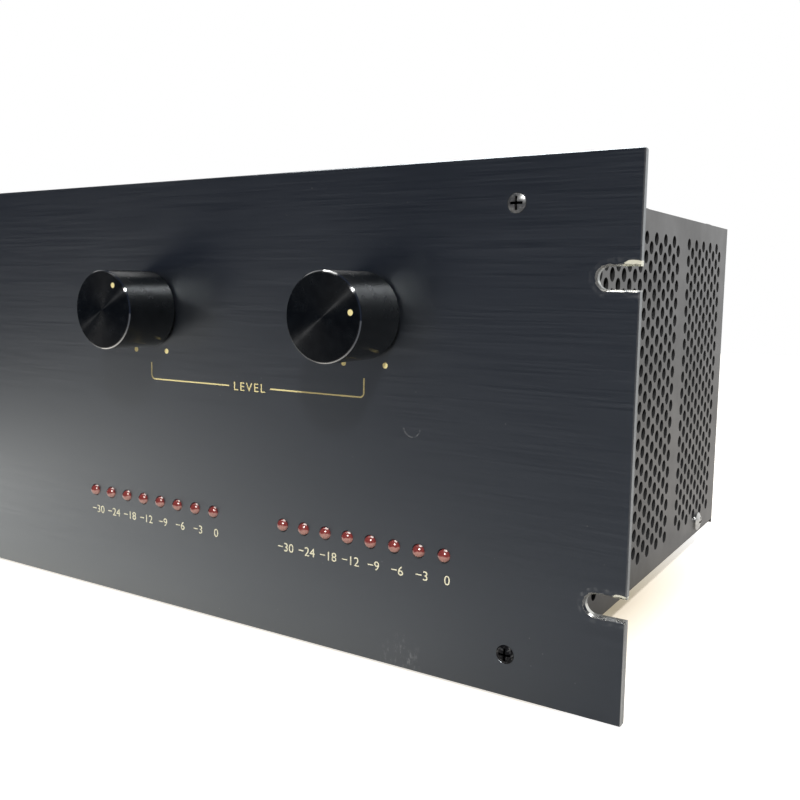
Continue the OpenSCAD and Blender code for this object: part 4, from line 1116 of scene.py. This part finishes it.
@dataclass
class LevelMeter(SubAssembly):
    """The two rows of lamps with the figures printed under them, and their board."""

    nodes: Finishes = {
        "level_lamps_left": LAMPS_LEFT,
        "level_lamps_right": LAMPS_RIGHT,
        "meter_board": BOARD,
        "meter_posts": BRASS,
    }
    figures: tuple[str, ...] = ("−30", "−24", "−18", "−12", "−9", "−6", "−3", "0")
    figure_z: float = 0.0368
    figure_h: float = 0.0034
    figure_shift: float = -0.0005

    def build(self) -> None:
        """Prints a row of figures for each channel."""
        for each in Channel:
            first = each.x + self.figure_shift - (len(self.figures) - 1) * LAMP_PITCH / 2
            row = [
                lettering(text, (first + i * LAMP_PITCH, PANEL_Y, self.figure_z), self.figure_h)
                for i, text in enumerate(self.figures)
            ]
            coat_piece(join(row, f"meter_figures_{each.name.lower()}"), FIGURES, Body.CHASSIS)


@dataclass
class PowerSwitch(SubAssembly):
    """The push button, its pilot lamp and the switch behind the panel."""

    nodes: Finishes = {
        "power_button": PLASTIC,
        "pilot_lamp": PILOT,
        "power_switch": PLASTIC,
        "switch_bracket": STEEL,
        "bracket_nuts": STEEL,
    }


@dataclass
class Casework(SubAssembly):
    """The folded sheets round the inside, with their screws and feet."""

    nodes: Finishes = {
        "side_panel_left": SIDE_PAINT,
        "side_panel_right": SIDE_PAINT,
        "lid": CASE_PAINT,
        "base_pan": CASE_PAINT,
        "rear_panel": CASE_PAINT,
        "side_screws": ZINC,
        "lid_screws": CASE_SCREW,
        "rear_screws": CASE_SCREW,
        "pan_screws": ZINC,
        "rubber_feet": RUBBER,
    }


@dataclass
class Inside(SubAssembly):
    """The heat sinks, boards and power supply that show through the perforated sides."""

    nodes: Finishes = {
        "heat_sink_left": SINK,
        "heat_sink_right": SINK,
        "output_transistors_left": PLASTIC,
        "output_transistors_right": PLASTIC,
        "amp_board_left": BOARD,
        "amp_board_right": BOARD,
        "board_posts": BRASS,
        "ring_transformer": TAPE,
        "transformer_pads": RUBBER,
        "transformer_dish": STEEL,
        "transformer_bolt": ZINC,
        "filter_capacitors": SLEEVE,
        "capacitor_clamps": STEEL,
        "clamp_screws": ZINC,
        "bridge_rectifier": PLASTIC,
        "protection_board": BOARD,
    }


@dataclass
class RearSockets(SubAssembly):
    """The inlet, fuse, jacks and speaker posts."""

    nodes: Finishes = {
        "mains_inlet": PLASTIC,
        "fuse_holder": PLASTIC,
        "mains_fuse": TUBE,
        "fuse_cap": PLASTIC,
        "input_jacks": PLASTIC,
        "speaker_studs": BRASS,
        "speaker_insulators": PLASTIC,
        "rear_nuts": ZINC,
        "speaker_cap_left_black": PLASTIC,
        "speaker_cap_left_red": PLASTIC_RED,
        "speaker_cap_right_black": PLASTIC,
        "speaker_cap_right_red": PLASTIC_RED,
    }


@dataclass(frozen=True)
class SoftBox:
    """A soft square lamp that looks at a point."""

    name: str
    place: Triple
    target: Triple
    side: float
    power: float

    def build(self) -> None:
        """Adds the lamp."""
        clear_selection()
        aim = Vector(self.target) - Vector(self.place)
        turn = aim.to_track_quat("-Z", "Y").to_euler()
        bpy.ops.object.light_add(type="AREA", location=self.place, rotation=turn)
        lamp = bpy.context.object
        lamp.name = self.name
        lamp.data.shape = "RECTANGLE"
        lamp.data.size = lamp.data.size_y = self.side
        lamp.data.energy = self.power


@dataclass
class Studio:
    """The pale floor, the white surroundings, the lamps and the camera."""

    lens: float = 40.559
    sensor: float = 36.0
    clip: float = 0.01
    place: Triple = (0.3232056, -0.3874781, 0.1373310)
    right: Triple = (0.84723715, 0.53110558, 0.01077405)
    down: Triple = (0.07581369, -0.10081645, -0.99201226)
    ahead: Triple = (-0.52577705, 0.84128646, -0.12568051)
    table_size: Pair = (2.4, 2.4)
    table_middle: Pair = (0.1, 0.42)
    table_pales: tuple[Colour, Colour] = ((0.64, 0.58, 0.50), (0.68, 0.62, 0.54))
    table_cells: float = 3.0
    table_rough: float = 0.9
    table_gloss: float = 0.1
    floor_white: float = 0.90
    # Floor colour that reflections see outside the painted light.
    floor_dim: Colour = (0.066, 0.071, 0.084)
    # Painted shadow beside the base: dimmer, warmer emission that the camera sees.
    shade_white: float = 0.34
    shade_tint: Colour = (1.0, 0.86, 0.60)
    shade_middle: Pair = (0.206, -0.020)
    shade_reach: float = 0.030
    shade_flat: float = 0.22
    # Painted light on the floor that only reflections see: a pool, a strip before the panel, and the back.
    pool_middle: Triple = (-0.26, -0.155, 0.0)
    pool_inner: float = 0.06
    pool_outer: float = 0.60
    pool_fade: float = 3.6
    strip_light: float = 0.80
    strip_back: float = -0.130
    strip_front: float = -0.29
    strip_left: float = -0.12
    strip_right: float = 0.23
    strip_right_share: float = 0.08
    back_light: float = 0.5
    back_from: float = -0.10
    back_to: float = 0.06
    room_stops: tuple[tuple[float, Colour], ...] = ((0.45, (0.022, 0.028, 0.046)), (0.80, WHITE))
    lamps: tuple[SoftBox, ...] = (
        SoftBox("overhead", (-0.6, 0.15, 2.0), (0.0, 0.0, 0.1), 0.9, 26.0),
        SoftBox("key", (0.85, -1.40, 1.55), (0.09, -0.12, 0.10), 0.16, 40.0),
    )

    def mirrored_light(self, graph: Graph) -> Socket:
        """Painted light that the panel and the sides see in the floor: a pool, a strip before the panel, and
        the back.

        Args:
            graph: The floor's nodes.

        Returns:
            The light, between 0 and 1.
        """
        x, y, _ = graph.axes()
        pool = graph.remap(graph.beyond(self.pool_middle), self.pool_outer, self.pool_inner)
        pool = graph.math("POWER", pool, self.pool_fade)
        strip = graph.remap(y, self.strip_front, self.strip_back, 0.0, self.strip_light)
        side = graph.remap(x, self.strip_right, self.strip_left, self.strip_right_share, 1.0)
        back = graph.remap(y, self.back_from, self.back_to, 0.0, self.back_light)
        return graph.most(graph.most(pool, graph.times(strip, side)), back)

    def open_floor(self, graph: Graph) -> Socket:
        """How far a place on the floor is out of the painted shade beside the base.

        Args:
            graph: The floor's nodes.

        Returns:
            0 in the shade and 1 on the open floor.
        """
        x, y, _ = graph.axes()
        across, along = self.shade_middle
        along_y = graph.times(graph.minus(y, along), self.shade_flat)
        along_x = graph.most(graph.minus(graph.size(x), across), 0.0)
        return graph.remap(graph.hypot(along_x, along_y), 0.0, self.shade_reach)

    def floor(self) -> None:
        """Lays a table top that reads as white but keeps the shadow, with a painted shadow beside the base
        and a painted pool of light in reflections.
        """
        clear_selection()
        bpy.ops.mesh.primitive_plane_add(size=1.0, location=(*self.table_middle, 0.0))
        floor = bpy.context.object
        floor.scale = (*self.table_size, 1.0)
        bpy.ops.object.transform_apply(location=True, rotation=True, scale=True)
        floor.name = "studio_floor"
        graph = Graph("studio_floor")
        path = graph.add("ShaderNodeLightPath").outputs
        mirrored = graph.most(path["Is Glossy Ray"], path["Is Transmission Ray"])
        pool = graph.times(mirrored, self.mirrored_light(graph))
        pale = graph.blend(graph.noise(self.table_cells), *self.table_pales)
        # Reflections see the floor painted dim, except for the painted light.
        graph.set("Base Color", graph.blend(graph.minus(mirrored, pool), pale, self.floor_dim))
        graph.set("Roughness", self.table_rough)
        graph.set("Specular IOR Level", self.table_gloss)
        lit = self.open_floor(graph)
        graph.set("Emission Color", graph.blend(lit, self.shade_tint, WHITE))
        white = graph.remap(lit, 0.0, 1.0, self.shade_white, self.floor_white)
        graph.set("Emission Strength", graph.most(graph.times(path["Is Camera Ray"], white), pool))
        floor.data.materials.append(graph.material)

    def surroundings(self) -> None:
        """Sets a white background, and a dimmer room in front of the panel for reflections."""
        world = bpy.data.worlds.new("studio_room")
        bpy.context.scene.world = world
        world.use_nodes = True
        graph = Nodes(world.node_tree, "Generated")
        rearward = graph.math("MULTIPLY_ADD", graph.axes()[1], 0.5, 0.5)
        ramp = graph.add("ShaderNodeValToRGB", {"Fac": rearward})
        for stop, (position, colour) in zip(ramp.color_ramp.elements, self.room_stops):
            stop.position = position
            stop.color = (*colour, 1.0)
        room, white = (
            graph.add("ShaderNodeBackground", {"Color": colour, "Strength": 1.0}).outputs[0]
            for colour in (ramp.outputs["Color"], WHITE)
        )
        seen = graph.add("ShaderNodeLightPath").outputs["Is Camera Ray"]
        mix = graph.add("ShaderNodeMixShader", {0: seen, 1: room, 2: white})
        graph.add("ShaderNodeOutputWorld", {"Surface": mix.outputs[0]})

    def camera(self) -> None:
        """Sets the camera at the photograph's place and angle."""
        clear_selection()
        bpy.ops.object.camera_add()
        camera = bpy.context.object
        camera.data.lens = self.lens
        camera.data.sensor_width = self.sensor
        camera.data.clip_start = self.clip
        axes = (Vector(self.right), -Vector(self.down), -Vector(self.ahead))
        turn = Matrix([[axis[i] for axis in axes] for i in range(3)]).to_4x4()
        camera.matrix_world = Matrix.Translation(Vector(self.place)) @ turn
        bpy.context.scene.camera = camera

    def build(self) -> None:
        """Builds the stage and the plain view settings."""
        self.floor()
        self.surroundings()
        for lamp in self.lamps:
            lamp.build()
        self.camera()
        bpy.context.scene.view_settings.view_transform = "Standard"


def main() -> None:
    """Loads the solids, dresses each sub-assembly and sets the stage."""
    logging.basicConfig(level=logging.INFO, format="%(message)s")
    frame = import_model()
    groups: list[SubAssembly] = [
        FrontPanel(), LevelControls(), LevelMeter(), PowerSwitch(), Casework(), Inside(), RearSockets(),
    ]
    for group in groups:
        group.build()
        group.dress(frame)
    Studio().build()
    clear_selection()


if __name__ == "__main__":
    main()
